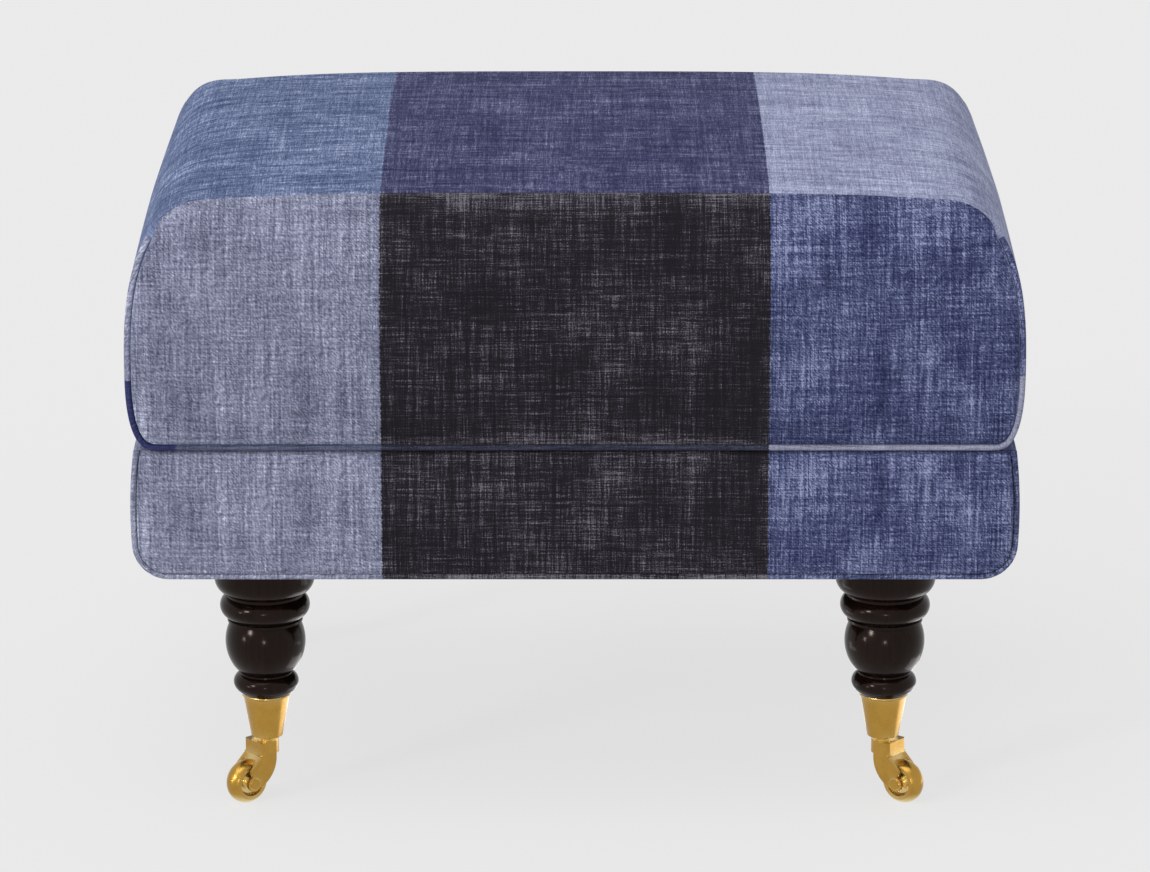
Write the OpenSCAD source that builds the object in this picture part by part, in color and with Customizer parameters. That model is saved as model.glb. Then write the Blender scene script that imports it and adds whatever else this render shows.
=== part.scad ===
// Upholstered footstool: a loaf-shaped cushion on a covered box frame, with four turned legs in
// cup castors. Millimetres. Origin on the floor under the middle, front towards -Y, +Z up.

/* [Overall] */
// Width over the cushion
seat_w = 630; // [570:1:700]
// Depth over the cushion
seat_d = 460; // [410:1:520]
// Height of the base box
base_h = 95; // [84:1:120]
// Height of the cushion at the middle of its front seam
cushion_h = 179; // [160:1:200]
// Further rise of the cushion's top behind the seam
crown_h = 7; // [2:0.5:12]

/* [Cushion] */
// Height of the cushion's widest part above its bottom
waist_h = 59; // [45:1:75]
// How far the upper side corners draw in
top_corner_w = 58; // [40:1:90]
// How far the lower side corners draw in
low_corner_w = 21; // [14:1:32]
// Rise of the top's middle over its side corners, along the seam
top_rise = 5.5; // [1:0.5:8]
// How far the front and back panels lean back at the top
shoulder_d = 50; // [30:1:70]
// Height over which the panels lean back
shoulder_h = 138; // [100:1:150]
// How far the panels swell in front of their piping
panel_belly = 6; // [3:0.5:10]
// Height at which the cushion's piping ends, above its bottom
piping_h = 150; // [110:1:155]
// How far the sides swell at mid depth
side_belly = 2; // [0:0.5:5]
// Thickness of the wadding round the foam
wadding_t = 6; // [3:0.5:10]

/* [Covers] */
// Thickness of the cover cloth with its lining
cover_t = 1.2; // [0.8:0.1:2]
// Radius of the piping
piping_r = 2.3; // [1.6:0.1:3]
// Clearance between a soft piece and its neighbour
soft_gap = 0.3; // [0.2:0.05:0.6]
// How much narrower than the cushion the base is, on each side
base_inset_x = 2; // [0:0.5:15]
// How much shallower than the cushion the base is, front and back
base_inset_y = 4; // [0:0.5:15]
// Radius of the base's lower side corners
base_corner_r = 26; // [14:1:34]
// Radius of the base's other long edges
base_edge_r = 8; // [6:0.5:12]
// How far the base's four faces swell at mid height
base_belly = 3; // [1:0.5:5]
// Width of the cloth turned in over and under the frame
turn_in = 36; // [20:1:60]
// Thickness of the padding between frame and cover
base_pad = 4; // [2:0.5:8]
// Thickness of the dust cover under the frame
dust_t = 0.8; // [0.5:0.1:1.5]

/* [Frame] */
// Thickness of the rails
rail_t = 22; // [16:1:28]
// Height of the centre rail
centre_h = 58; // [40:1:70]
// Length of a corner block along the front
block_l = 110; // [90:1:130]
// Length of a corner block along the side
block_w = 90; // [80:1:110]
// Height of a corner block
block_h = 45; // [30:1:60]
// Chamfer on a corner block's free corner
block_cut = 18; // [8:1:25]
// Radius of a dowel
dowel_r = 5; // [3:0.5:6]
// Length of a dowel
dowel_l = 44; // [30:1:60]
// Radius of a block screw's shank
screw_r = 2.3; // [1.8:0.1:3]
// Length of a block screw
screw_l = 75; // [55:1:90]
// Width of a webbing strap
strap_w = 50; // [30:1:60]
// Thickness of a webbing strap
strap_t = 1.4; // [0.8:0.1:2]
// Straps that run left to right
straps_long = 5; // [3:1:6]
// Straps that run front to back
straps_cross = 7; // [4:1:9]
// Thickness of the hessian over the webbing
hessian_t = 0.8; // [0.5:0.1:1.5]

/* [Legs] */
// Distance of a leg's axis from the base's side
leg_in_x = 90.5; // [74:0.5:100]
// Distance of a leg's axis from the base's front or back
leg_in_y = 61; // [56:1:68]
// Length of a leg between its cup and the base
leg_len = 102.3; // [95:0.1:130]
// Radius of the top flange
flange_r = 36; // [33:0.5:42]
// Radius of the upper ring
ring_r = 32.3; // [29:0.1:36]
// Height of the upper ring with its neck
ring_h = 20.4; // [18:0.1:24]
// Radius of the vase-shaped bulge
bulge_r = 28.8; // [26:0.1:32]
// Height of the bulge
bulge_h = 38.6; // [34:0.1:42]
// Radius of the foot ring
foot_ring_r = 23.4; // [21:0.1:26]
// Height of the foot ring with its neck
foot_ring_h = 15.9; // [15:0.1:20]
// Radius of the hanger bolts
bolt_r = 4; // [3:0.5:5]
// Depth of a hanger bolt in the leg
bolt_in_leg = 44; // [30:1:60]

/* [Castors] */
// Radius of a wheel
wheel_r = 16; // [14:0.5:19]
// Width of a wheel
wheel_w = 14; // [12:0.5:18]
// Distance of the axle behind the swivel axis
trail = 19; // [15:0.5:22]
// Gap between the wheel and the fork's crown
crown_gap = 2.5; // [2:0.5:8]
// Thickness of the fork's crown
crown_t = 10.5; // [7:0.5:13]
// Thickness of a fork arm
arm_t = 2.4; // [1.8:0.1:3.5]
// Height of the swivel collar
collar_h = 2.5; // [2:0.1:4]
// Height of a cup
cup_h = 33; // [26:0.5:40]
// Outer radius at the top of a cup, under its rim
cup_top_r = 16.6; // [15:0.1:19]
// Outer radius at the bottom of a cup
cup_bottom_r = 11.4; // [10.5:0.1:14]
// Wall thickness of a cup
cup_wall = 1.5; // [1:0.1:2]
// Radius of the swivel pintle
pintle_r = 3.5; // [2.5:0.1:4]
// Radius of an axle
axle_r = 2.45; // [2:0.05:3]
// Turn of each front castor outward from straight ahead, in degrees
castor_turn = 50; // [0:1:90]

/* [Hidden] */
$fn = 64;

denim_pale = [0.53, 0.57, 0.68];
denim_mid = [0.33, 0.42, 0.62];
denim_dark = [0.17, 0.18, 0.24];
beech = [0.80, 0.66, 0.47];
espresso = [0.11, 0.07, 0.06];
brass = [0.72, 0.55, 0.22];
steel = [0.62, 0.62, 0.64];
jute = [0.70, 0.58, 0.40];
cream = [0.93, 0.90, 0.82];

// Clearances of parts that turn, and of parts that are only put together
run_gap = 0.06;
face_gap = 0.15;
fit_gap = 0.1;
cut = 1;

// Corners: side, end and the way the castor trails
fl = [-1, -1];
fr = [1, -1];
bl = [-1, 1];
br = [1, 1];
CORNERS = [fl, fr, bl, br];

// Heights, from the floor up
crown_z = 2 * wheel_r + crown_gap;
collar_z = crown_z + crown_t;
cup_z = collar_z + collar_h;
rim_z = cup_z + cup_h;
base_z = rim_z + leg_len;
under_z = base_z - dust_t;
base_top = base_z + base_h;
cushion_z = base_top + soft_gap;
seam_z = cushion_z + cushion_h;

// Base box
base_w = seat_w - 2 * base_inset_x;
base_d = seat_d - 2 * base_inset_y;
notch = 2 * piping_r + soft_gap;
lining_in = cover_t + soft_gap;
frame_in = lining_in + base_pad;
rail_x = base_w / 2 - base_belly - frame_in;
rail_y = base_d / 2 - base_belly - frame_in;
rail_z = base_z + cover_t;
hessian_z = base_top - cover_t - hessian_t;
strap_z = hessian_z - 2 * strap_t;
rail_top = strap_z;
base_end = base_d / 2 - base_belly;
frame_low_r = base_corner_r - frame_in;
frame_edge_r = max(base_edge_r - frame_in, 1);
strap_clear = 1.2;
fold_w = base_w - 2 * (base_corner_r + turn_in + soft_gap);
dust_edge = 10;

// Dowels and block screws
dowel_low = 16;
dowel_high = 68;
dowel_in_rail = 16;
screw_in_rail = 15;
screw_head_r = 2 * screw_r;
screw_head_h = 3;
screw_side = 20;
screw_rise_y = 12;
screw_rise_x = 30;
block_x0 = rail_x - rail_t - block_l;
block_y0 = rail_y - rail_t - block_w;

// Legs
leg_x = base_w / 2 - leg_in_x;
leg_y = base_d / 2 - leg_in_y;
leg_neck_r = [18.5, 25.5, 28];
bulge_arc_r = 32.6;
bulge_below_neck = 15.5;
foot_bead_r = 7;
foot_edge_r = 18.6;
foot_slant = 2.4;
ring_bead_r = 9;
flange_bead_r = 12;
lip_h = 1.8;
lip_out = 1.6;
groove_r = 0.9;
groove_below_neck = 6.5;
leg_boss_r = 20;
cup_floor = 3;
tenon_gap = 0.15;
nut_flange_r = 11;
nut_flange_h = 1.5;
nut_barrel_r = bolt_r + 1.4;
nut_barrel_h = 10;

// Castors: in the arm's outline, X is measured from the swivel axis and Z from the axle
pintle_head_r = pintle_r + 1.8;
pintle_head_h = 2.1;
tenon_clear = 1.2;
rim_r = 1.4;
collar_r = pintle_r + 1.4;
arm_in = wheel_w / 2 + 0.8;
arm_out = arm_in + arm_t;
arm_back = -0.7;
arm_front = 12.8;
arm_front_z = 2.4;
arm_knee = [3, 10];
boss_r = 5.7;
arc_over = [2.5, 17];
crown_r = 8.4;
crown_round = 2;
axle_head_r = 3.8;
axle_head_h = 1;
tread_drop = 3.5;
dish_r = 9.2;
dish_w = 3.6;
hub_r = 4.7;
hub_out = 0.35;
cup_screw_r = 1.5;
cup_screw_head_r = 2.8;
cup_screw_head_h = 1.4;
cup_screw_in = 10;
cup_screw_z = cup_z + cup_h * 0.55;

// Direction in which a castor trails, from +X towards +Y
function trail_angle(c) = atan2(c[1] * cos(castor_turn), c[0] * sin(castor_turn));

module at_corner(c) translate([c[0] * leg_x, c[1] * leg_y, 0]) children();

module turned(c) at_corner(c) rotate([0, 0, trail_angle(c)]) children();

// Extrusions of an outline drawn in the XZ and in the YZ plane, centred on the origin
module along_y(d) rotate([90, 0, 0]) linear_extrude(height = d, center = true) children();

module along_x(w) rotate([90, 0, 90]) linear_extrude(height = w, center = true) children();

// Outline of a box whose sides swell by belly: side arcs, tangent corner arcs, flat top and bottom.
// inset draws a parallel outline inside it.
function side_arc_r(h, belly) = (h * h / 4 + belly * belly) / (2 * belly);
function corner_x(w, h, r, belly) =
    let (big = side_arc_r(h, belly))
    w / 2 - big + sqrt(pow(big - r, 2) - pow(h / 2 - r, 2));
function corner_turn(h, r, belly) = asin((h / 2 - r) / (side_arc_r(h, belly) - r));

module swelled_box(w, h, low_r, up_r, belly, inset) {
    big = side_arc_r(h, belly);
    low_x = corner_x(w, h, low_r, belly);
    up_x = corner_x(w, h, up_r, belly);
    low_z = low_r - (low_r - inset) * sin(corner_turn(h, low_r, belly));
    up_z = h - up_r + (up_r - inset) * sin(corner_turn(h, up_r, belly));
    for (s = [-1, 1]) intersection() {
        translate([s * (w / 2 - big), h / 2]) circle(r = big - inset, $fn = 360);
        translate([s > 0 ? -cut : cut - w, low_z]) square([w, up_z - low_z]);
    }
    translate([-low_x, inset]) square([2 * low_x, h / 2 - inset]);
    translate([-up_x, h / 2]) square([2 * up_x, h / 2 - inset]);
    for (s = [-1, 1]) {
        translate([s * low_x, low_r]) circle(r = low_r - inset);
        translate([s * up_x, h - up_r]) circle(r = up_r - inset);
    }
}

// Points [x, z, normal x, normal z] on an arc
function arc_points(cx, cz, r, a0, a1, n) = [for (k = [0 : n]) let (a = a0 + (a1 - a0) * k / n)
    [cx + r * cos(a), cz + r * sin(a), cos(a), sin(a)]];

// The same outline as points, for cutting through cloth that is itself curved
function swelled_side(w, h, low_r, up_r, belly, inset) = let (
    big = side_arc_r(h, belly),
    low_turn = corner_turn(h, low_r, belly),
    up_turn = corner_turn(h, up_r, belly)
) concat(
    arc_points(corner_x(w, h, low_r, belly), low_r, low_r - inset, -90, -low_turn, 10),
    arc_points(w / 2 - big, h / 2, big - inset, -0.8 * low_turn, 0.8 * up_turn, 4),
    arc_points(corner_x(w, h, up_r, belly), h - up_r, up_r - inset, up_turn, 90, 5)
);

module base_cut_x(inset) {
    side = swelled_side(base_w, base_h, base_corner_r, base_edge_r, base_belly, inset);
    translate([0, base_z]) polygon(concat(
        [for (q = side) [q[0], q[1]]],
        [for (i = [len(side) - 1 : -1 : 0]) [-side[i][0], side[i][1]]]
    ));
}

module base_outline_x(inset) translate([0, base_z])
    swelled_box(base_w, base_h, base_corner_r, base_edge_r, base_belly, inset);

module base_outline_y(inset) translate([0, base_z])
    swelled_box(base_d, base_h, base_edge_r, base_edge_r, base_belly, inset);

module slab(x0, x1, y0, y1, z0, z1) translate([x0, y0, z0]) cube([x1 - x0, y1 - y0, z1 - z0]);

// Outline of a box with rounded lower and upper corners, standing on Z = 0
module rounded_box(x, h, low_r, up_r) {
    translate([low_r - x, 0]) square([2 * (x - low_r), h / 2]);
    translate([up_r - x, h / 2]) square([2 * (x - up_r), h / 2]);
    translate([-x, low_r]) square([2 * x, h - low_r - up_r]);
    for (s = [-1, 1]) {
        translate([s * (x - low_r), low_r]) circle(r = low_r);
        translate([s * (x - up_r), h - up_r]) circle(r = up_r);
    }
}

module frame_solid() intersection() {
    along_y(2 * rail_y) translate([0, rail_z])
        rounded_box(rail_x, rail_top - rail_z, frame_low_r, frame_edge_r);
    along_x(2 * rail_x) translate([0, rail_z])
        rounded_box(rail_y, rail_top - rail_z, frame_edge_r, frame_edge_r);
}

module leg_holes(r) for (c = CORNERS) at_corner(c) translate([0, 0, under_z - cut])
    cylinder(r = r + soft_gap, h = rail_z - under_z + 2 * cut);

// Frame rails, with dowel and screw holes
module dowels(c, r) for (z = [dowel_low, dowel_high])
    translate([c[0] * (rail_x - rail_t / 2), c[1] * (rail_y - rail_t + dowel_in_rail), rail_z + z])
        rotate([c[1] * 90, 0, 0]) cylinder(r = r, h = dowel_l);

module end_rail(side) difference() {
    intersection() {
        frame_solid();
        slab(-rail_x, rail_x, side > 0 ? rail_y - rail_t : -rail_y,
            side > 0 ? rail_y : -rail_y + rail_t, rail_z, rail_top);
    }
    for (c = CORNERS) {
        dowels(c, dowel_r + fit_gap);
        screw_y(c, screw_r + fit_gap, 0, 0);
    }
}

module side_rail(side) difference() {
    intersection() {
        frame_solid();
        slab(side > 0 ? rail_x - rail_t : -rail_x, side > 0 ? rail_x : -rail_x + rail_t,
            -rail_y + rail_t, rail_y - rail_t, rail_z, rail_top);
    }
    for (c = CORNERS) {
        dowels(c, dowel_r + fit_gap);
        screw_x(c, screw_r + fit_gap, 0, 0);
    }
}

module front_rail() color(beech) end_rail(-1);
module back_rail() color(beech) end_rail(1);
module left_rail() color(beech) side_rail(-1);
module right_rail() color(beech) side_rail(1);

module centre_rail() color(beech)
    slab(-rail_t / 2, rail_t / 2, -rail_y + rail_t, rail_y - rail_t, rail_z, rail_z + centre_h);

module rail_dowels() color(beech) for (c = CORNERS) dowels(c, dowel_r);

// A block screw: shank with a flat-topped countersunk head, drawn along +Z with its tip at 0
module screw(r, head_r, bore_h) {
    cylinder(r = r, h = screw_l);
    if (head_r > 0) {
        translate([0, 0, screw_l - screw_head_h])
            rotate_extrude() polygon([[0, 0], [r, 0], [head_r, screw_head_h], [0, screw_head_h]]);
        if (bore_h > 0) translate([0, 0, screw_l]) cylinder(r = head_r, h = bore_h);
    }
}

module screw_y(c, r, head_r, bore_h)
    translate([c[0] * (block_x0 + screw_side), c[1] * (rail_y - rail_t + screw_in_rail),
        rail_z + screw_rise_y]) rotate([c[1] * 90, 0, 0]) screw(r, head_r, bore_h);

module screw_x(c, r, head_r, bore_h)
    translate([c[0] * (rail_x - rail_t + screw_in_rail), c[1] * (block_y0 + screw_side),
        rail_z + screw_rise_x]) rotate([0, -c[0] * 90, 0]) screw(r, head_r, bore_h);

module block_screws() color(steel) for (c = CORNERS) {
    screw_y(c, screw_r, screw_head_r, 0);
    screw_x(c, screw_r, screw_head_r, 0);
}

// Corner blocks carry the legs; the nut sits on top of each
module corner_block(c) difference() {
    mirror([c[0] < 0 ? 1 : 0, 0, 0]) mirror([0, c[1] < 0 ? 1 : 0, 0])
        translate([0, 0, rail_z]) linear_extrude(height = block_h) polygon([
            [rail_x - rail_t, rail_y - rail_t],
            [block_x0, rail_y - rail_t],
            [block_x0, block_y0 + block_cut],
            [block_x0 + block_cut, block_y0],
            [rail_x - rail_t, block_y0]
        ]);
    at_corner(c) {
        translate([0, 0, rail_z - cut]) cylinder(r = bolt_r + fit_gap, h = block_h + 2 * cut);
        translate([0, 0, rail_z + block_h - nut_barrel_h - fit_gap])
            cylinder(r = nut_barrel_r + fit_gap, h = nut_barrel_h + cut);
    }
    screw_y(c, screw_r + fit_gap, screw_head_r + fit_gap, block_w);
    screw_x(c, screw_r + fit_gap, screw_head_r + fit_gap, block_l);
}

module corner_blocks() color(beech) for (c = CORNERS) corner_block(c);

module tee_nuts() color(steel) for (c = CORNERS) at_corner(c)
    translate([0, 0, rail_z + block_h]) difference() {
        union() {
            cylinder(r = nut_flange_r, h = nut_flange_h);
            translate([0, 0, -nut_barrel_h]) cylinder(r = nut_barrel_r, h = nut_barrel_h + cut);
        }
        translate([0, 0, -nut_barrel_h - cut])
            cylinder(r = bolt_r + run_gap, h = nut_barrel_h + nut_flange_h + 2 * cut);
    }

module hanger_bolts() color(steel) for (c = CORNERS) at_corner(c)
    translate([0, 0, base_z - bolt_in_leg])
        cylinder(r = bolt_r, h = bolt_in_leg + cover_t + block_h - cut);

// Webbing: straps laid in two layers over the rails, and hessian over them
function spread(n, half, i) = (2 * i + 1 - n) * (2 * half - strap_w) / (2 * (n - 1));

module webbing_lengthwise() color(jute) for (i = [0 : straps_long - 1])
    translate([0, spread(straps_long, rail_y - rail_t, i), strap_z + strap_t / 2])
        cube([2 * rail_x - 2 * strap_clear, strap_w, strap_t], center = true);

module webbing_crosswise() color(jute) for (i = [0 : straps_cross - 1])
    translate([spread(straps_cross, rail_x - rail_t, i), 0, strap_z + 1.5 * strap_t])
        cube([strap_w, 2 * rail_y - 2 * strap_clear, strap_t], center = true);

module hessian() color(jute)
    slab(-rail_x + strap_clear, rail_x - strap_clear, -rail_y + strap_clear, rail_y - strap_clear,
        hessian_z, hessian_z + hessian_t);

// Base upholstery
module base_wadding() color(cream) difference() {
    intersection() {
        along_x(base_w) base_outline_y(lining_in);
        slab(-base_w, base_w, -base_d, base_d, base_z + notch + lining_in, rail_top);
        union() {
            along_y(2 * (base_end - notch - lining_in)) base_cut_x(lining_in);
            along_y(base_d) base_cut_x(notch + lining_in);
        }
    }
    slab(-rail_x, rail_x, -rail_y, rail_y, base_z, base_top);
}

// Front or back panel: its face, a fold over and behind the bottom piping, and the cloth turned in
module base_end_panel(side) rotate([0, 0, side > 0 ? 180 : 0]) difference() {
    end_cloth();
    leg_holes(leg_boss_r);
}

module end_cloth() {
    intersection() {
        along_x(base_w) difference() {
            base_outline_y(0);
            base_outline_y(cover_t);
        }
        along_y(base_d) {
            base_cut_x(notch);
            translate([0, base_top - notch]) square([fold_w, 2 * notch], center = true);
        }
        union() {
            slab(-base_w, base_w, -base_d, -base_end + notch, base_z + notch, base_top + cut);
            slab(-base_w, base_w, -base_d, -rail_y + rail_t, base_z + base_h / 2, base_top + cut);
        }
    }
    intersection() {
        along_x(fold_w) base_outline_y(cover_t / 2);
        slab(-base_w, base_w, -base_d, -rail_y, base_z + notch, base_z + notch + cover_t);
    }
    slab(-fold_w / 2, fold_w / 2, -base_end + notch, -rail_y, base_z, base_z + notch + cover_t);
    slab(-fold_w / 2, fold_w / 2, -base_end + notch, -rail_y + rail_t, base_z, base_z + cover_t);
}

module base_front_panel() color(denim_dark) base_end_panel(-1);
module base_back_panel() color(denim_dark) base_end_panel(1);

module base_side(side) intersection() {
    along_y(2 * (base_end - notch)) difference() {
        base_outline_x(0);
        base_outline_x(cover_t);
    }
    slab(side > 0 ? base_w / 2 - base_corner_r - turn_in : -base_w,
        side > 0 ? base_w : -base_w / 2 + base_corner_r + turn_in,
        -base_d, base_d, 0, seam_z);
}

module base_side_left() color(denim_pale) difference() {
    base_side(-1);
    leg_holes(leg_boss_r);
}

module base_side_right() color(denim_mid) difference() {
    base_side(1);
    leg_holes(leg_boss_r);
}

// Base piping: a cord down one side arc, round the lower corner, along the bottom and up again
function base_piping_path() = let (
    big = side_arc_r(base_h, base_belly),
    turn = corner_turn(base_h, base_corner_r, base_belly),
    top_turn = asin((base_h / 2 - soft_gap) / big),
    big_x = base_w / 2 - big,
    low_x = corner_x(base_w, base_h, base_corner_r, base_belly),
    mid_z = base_z + base_h / 2,
    low_z = base_z + base_corner_r
) concat(
    arc_points(-big_x, mid_z, big - piping_r, 180 - top_turn, 180 + turn - 1, 5),
    arc_points(-low_x, low_z, base_corner_r - piping_r, 180 + turn, 270, 7),
    [for (k = [-1 : 1]) [low_x * k / 2, base_z + piping_r, 0, -1]],
    arc_points(low_x, low_z, base_corner_r - piping_r, -90, -turn, 7),
    arc_points(big_x, mid_z, big - piping_r, 1 - turn, top_turn, 5)
);

module base_piping(side) rotate([0, 0, side > 0 ? 180 : 0])
    cord([for (p = base_piping_path()) concat(p, -base_end + piping_r)]);

// Piping cord along points [x, z, normal x, normal z, y], as one closed tube
module cord(path) {
    sides = 8;
    n = len(path);
    rings = [for (p = path) [for (k = [0 : sides - 1]) let (a = 360 * (k + 0.5) / sides)
        [p[0] + piping_r * cos(a) * p[2], p[4] + piping_r * sin(a), p[1] + piping_r * cos(a) * p[3]]]];
    polyhedron(
        points = [for (ring = rings) each ring],
        faces = concat(
            [[for (k = [0 : sides - 1]) k]],
            [[for (k = [sides - 1 : -1 : 0]) (n - 1) * sides + k]],
            [for (i = [0 : n - 2], k = [0 : sides - 1]) let (k2 = (k + 1) % sides)
                each [[i * sides + k, (i + 1) * sides + k2, i * sides + k2],
                    [i * sides + k, (i + 1) * sides + k, (i + 1) * sides + k2]]]
        ),
        convexity = 6
    );
}

module base_piping_front() color(denim_mid) base_piping(-1);
module base_piping_back() color(denim_mid) base_piping(1);

module dust_cover() color([0.12, 0.12, 0.13]) difference() {
    slab(-base_w / 2 + base_corner_r + dust_edge, base_w / 2 - base_corner_r - dust_edge,
        -rail_y + dust_edge, rail_y - dust_edge, under_z, base_z);
    leg_holes(flange_r);
}

// Cushion outline in the XZ plane, counter-clockwise from the bottom right, as points
// [x, z, normal x, normal z]. o is how far it lies inside the cover's outside.
fullness = 2.6;
waist_z = cushion_z + waist_h;
shoulder_z = seam_z - top_rise - waist_z;
low_x = seat_w / 2 - low_corner_w;
top_x = seat_w / 2 - top_corner_w;

function signed_pow(v, n) = sign(v) * pow(abs(v), n);
function unit(x, z) = [x, z] / norm([x, z]);

// Points on a full-bodied oval with half-axes a and b, from angle a0 to a1
function oval_points(cx, cz, a, b, a0, a1, n) = [for (k = [0 : n]) let (
    t = a0 + (a1 - a0) * k / n,
    q = 2 / fullness,
    m = unit(signed_pow(cos(t), 2 - q) / a, signed_pow(sin(t), 2 - q) / b)
) [cx + a * signed_pow(cos(t), q), cz + b * signed_pow(sin(t), q), m[0], m[1]]];

function top_points(o, n) = [for (k = [1 : n]) let (
    t = 1 - 2 * k / (n + 1),
    m = unit(4 * top_rise * pow(t, 3) / top_x, 1)
) [top_x * t, seam_z - top_rise * pow(t, 4) - o, m[0], m[1]]];

function bottom_points(o, n) = [for (k = [1 : n])
    [low_x * (2 * k / (n + 1) - 1), cushion_z + o, 0, -1]];

// Lower and upper corners of one side
function low_corner(s, o, a0, a1, n) =
    oval_points(s * low_x, waist_z, low_corner_w - o, waist_h - o, a0, a1, n);
function top_corner(s, o, a0, a1, n) =
    oval_points(s * top_x, waist_z, top_corner_w - o, shoulder_z - o, a0, a1, n);

function wrap_outline(o, nl, nt, nx) = concat(
    low_corner(1, o, -90, -90 / nl, nl - 1),
    top_corner(1, o, 0, 90, nt),
    top_points(o, nx),
    top_corner(-1, o, 90, 180, nt),
    low_corner(-1, o, 180 + 90 / nl, 270, nl - 1)
);

// How far the end panels stand back from the cushion's full depth. They lean back by the same
// amount at their upper edge, also where that edge drops towards its side corners.
lean_top = seam_z + 1;
function edge_drop(x, z) = top_rise * pow(min(abs(x) / top_x, 1), 4)
    * min(max((z - waist_z) / shoulder_z, 0), 1);
function stand_back(x, z) = let (
    u = min(max((z + edge_drop(x, z) - lean_top + shoulder_h) / shoulder_h, 0), 1)
) shoulder_d * (1 - pow(1 - pow(u, fullness), 1 / fullness));

// The piping stops in the upper corners, where its notch closes
piping_stop = cushion_z + piping_h;
notch_close = 10;
function notch_at(z) = soft_gap
    + 2 * piping_r * (1 - min(max((z - piping_stop - piping_r) / notch_close, 0), 1));

// An end panel's edge draws back most at the bottom and the sides, and least at the middle of its
// top
function top_draw(p) = pow(min(abs(p[0]) / top_x, 1), 2) / 2;
function edge_draw(p) = panel_belly * (p[3] > 0 ? top_draw(p) + (1 - top_draw(p)) * p[2] * p[2] : 1);
function panel_end(p, z) = seat_d / 2 - edge_draw(p) - stand_back(p[0], z);

// Points on the top-and-side cover. v runs from -1 at the front edge to 1 at the back edge.
function swell_at(p, v) = (1 - v * v)
    * (crown_h * (p[3] > 0 ? p[3] * p[3] : 0) + side_belly * p[2] * p[2]);
function cover_point(p, v, o) = let (
    y_end = panel_end(p, p[1]) - notch_at(p[1]),
    w = swell_at(p, v) - o
) [p[0] + w * p[2], v * y_end, p[1] + w * p[3]];

// Closed shell between two grids of points that share their rows and columns
module grid_shell(outer, inner) {
    m = len(outer);
    n = len(outer[0]);
    function id(i, j) = i * n + j;
    function quad(a, b, c, d) = [[a, b, c], [a, c, d]];
    polyhedron(
        points = concat([for (row = outer) each row], [for (row = inner) each row]),
        faces = concat(
            [for (i = [0 : m - 2], j = [0 : n - 2])
                each quad(id(i, j), id(i, j + 1), id(i + 1, j + 1), id(i + 1, j))],
            [for (i = [0 : m - 2], j = [0 : n - 2])
                each quad(m * n + id(i, j), m * n + id(i + 1, j), m * n + id(i + 1, j + 1), m * n + id(i, j + 1))],
            [for (j = [0 : n - 2], e = [0, m - 1])
                each (e == 0
                    ? quad(id(e, j), m * n + id(e, j), m * n + id(e, j + 1), id(e, j + 1))
                    : quad(id(e, j), id(e, j + 1), m * n + id(e, j + 1), m * n + id(e, j)))],
            [for (i = [0 : m - 2], e = [0, n - 1])
                each (e == 0
                    ? quad(id(i, e), id(i + 1, e), m * n + id(i + 1, e), m * n + id(i, e))
                    : quad(id(i, e), m * n + id(i, e), m * n + id(i + 1, e), id(i + 1, e)))]
        ),
        convexity = 6
    );
}

module cushion_top_cover() color(denim_pale) {
    outline = wrap_outline(0, 8, 11, 5);
    stations = [for (k = [-5.5 : 5.5]) sin(90 * k / 5.5)];
    grid_shell(
        [for (p = outline) [for (v = stations) cover_point(p, v, 0)]],
        [for (p = outline) [for (v = stations) cover_point(p, v, cover_t)]]
    );
}

// Points on the front panel. r runs from 0 at its middle to 1 at its edge. o lies inside it.
function panel_slope(x, z) = stand_back(x, z + 0.5) - stand_back(x, z - 0.5);
function panel_point(p, r, o) = let (
    mid_z = cushion_z + cushion_h / 2,
    x = p[0] * r,
    z = mid_z + (p[1] - mid_z) * r,
    s = min(panel_slope(x, z), 4),
    f = o / sqrt(1 + s * s)
) [x, -(seat_d / 2 - stand_back(x, z) - edge_draw(p) * pow(r, 4)) + f, z - s * f];

module panel_shell() {
    rings = [0, 0.35, 0.6, 0.75, 0.86, 0.94, 1];
    whole = concat(wrap_outline(0, 8, 11, 5), bottom_points(0, 5));
    edge = [for (p = whole) let (g = notch_at(p[1])) [p[0] - g * p[2], p[1] - g * p[3], p[2], p[3]]];
    n = len(edge);
    m = len(rings) - 1;
    outer = concat([panel_point(edge[0], 0, 0)],
        [for (k = [1 : m]) each [for (p = edge) panel_point(p, rings[k], 0)]]);
    inner = concat([panel_point(edge[0], 0, cover_t)],
        [for (k = [1 : m]) each [for (p = edge) panel_point(p, rings[k], cover_t)]]);
    h = len(outer);
    function id(k, i) = 1 + (k - 1) * n + (i % n);
    polyhedron(
        points = concat(outer, inner),
        faces = concat(
            [for (i = [0 : n - 1]) [0, id(1, i + 1), id(1, i)]],
            [for (i = [0 : n - 1]) [h, h + id(1, i), h + id(1, i + 1)]],
            [for (k = [1 : m - 1], i = [0 : n - 1])
                each [[id(k, i), id(k, i + 1), id(k + 1, i + 1)], [id(k, i), id(k + 1, i + 1), id(k + 1, i)]]],
            [for (k = [1 : m - 1], i = [0 : n - 1])
                each [[h + id(k, i), h + id(k + 1, i + 1), h + id(k, i + 1)],
                    [h + id(k, i), h + id(k + 1, i), h + id(k + 1, i + 1)]]],
            [for (i = [0 : n - 1])
                each [[id(m, i), id(m, i + 1), h + id(m, i + 1)], [id(m, i), h + id(m, i + 1), h + id(m, i)]]]
        ),
        convexity = 6
    );
}

module cushion_front_panel() color(denim_dark) panel_shell();
module cushion_back_panel() color(denim_dark) rotate([0, 0, 180]) panel_shell();

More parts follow.
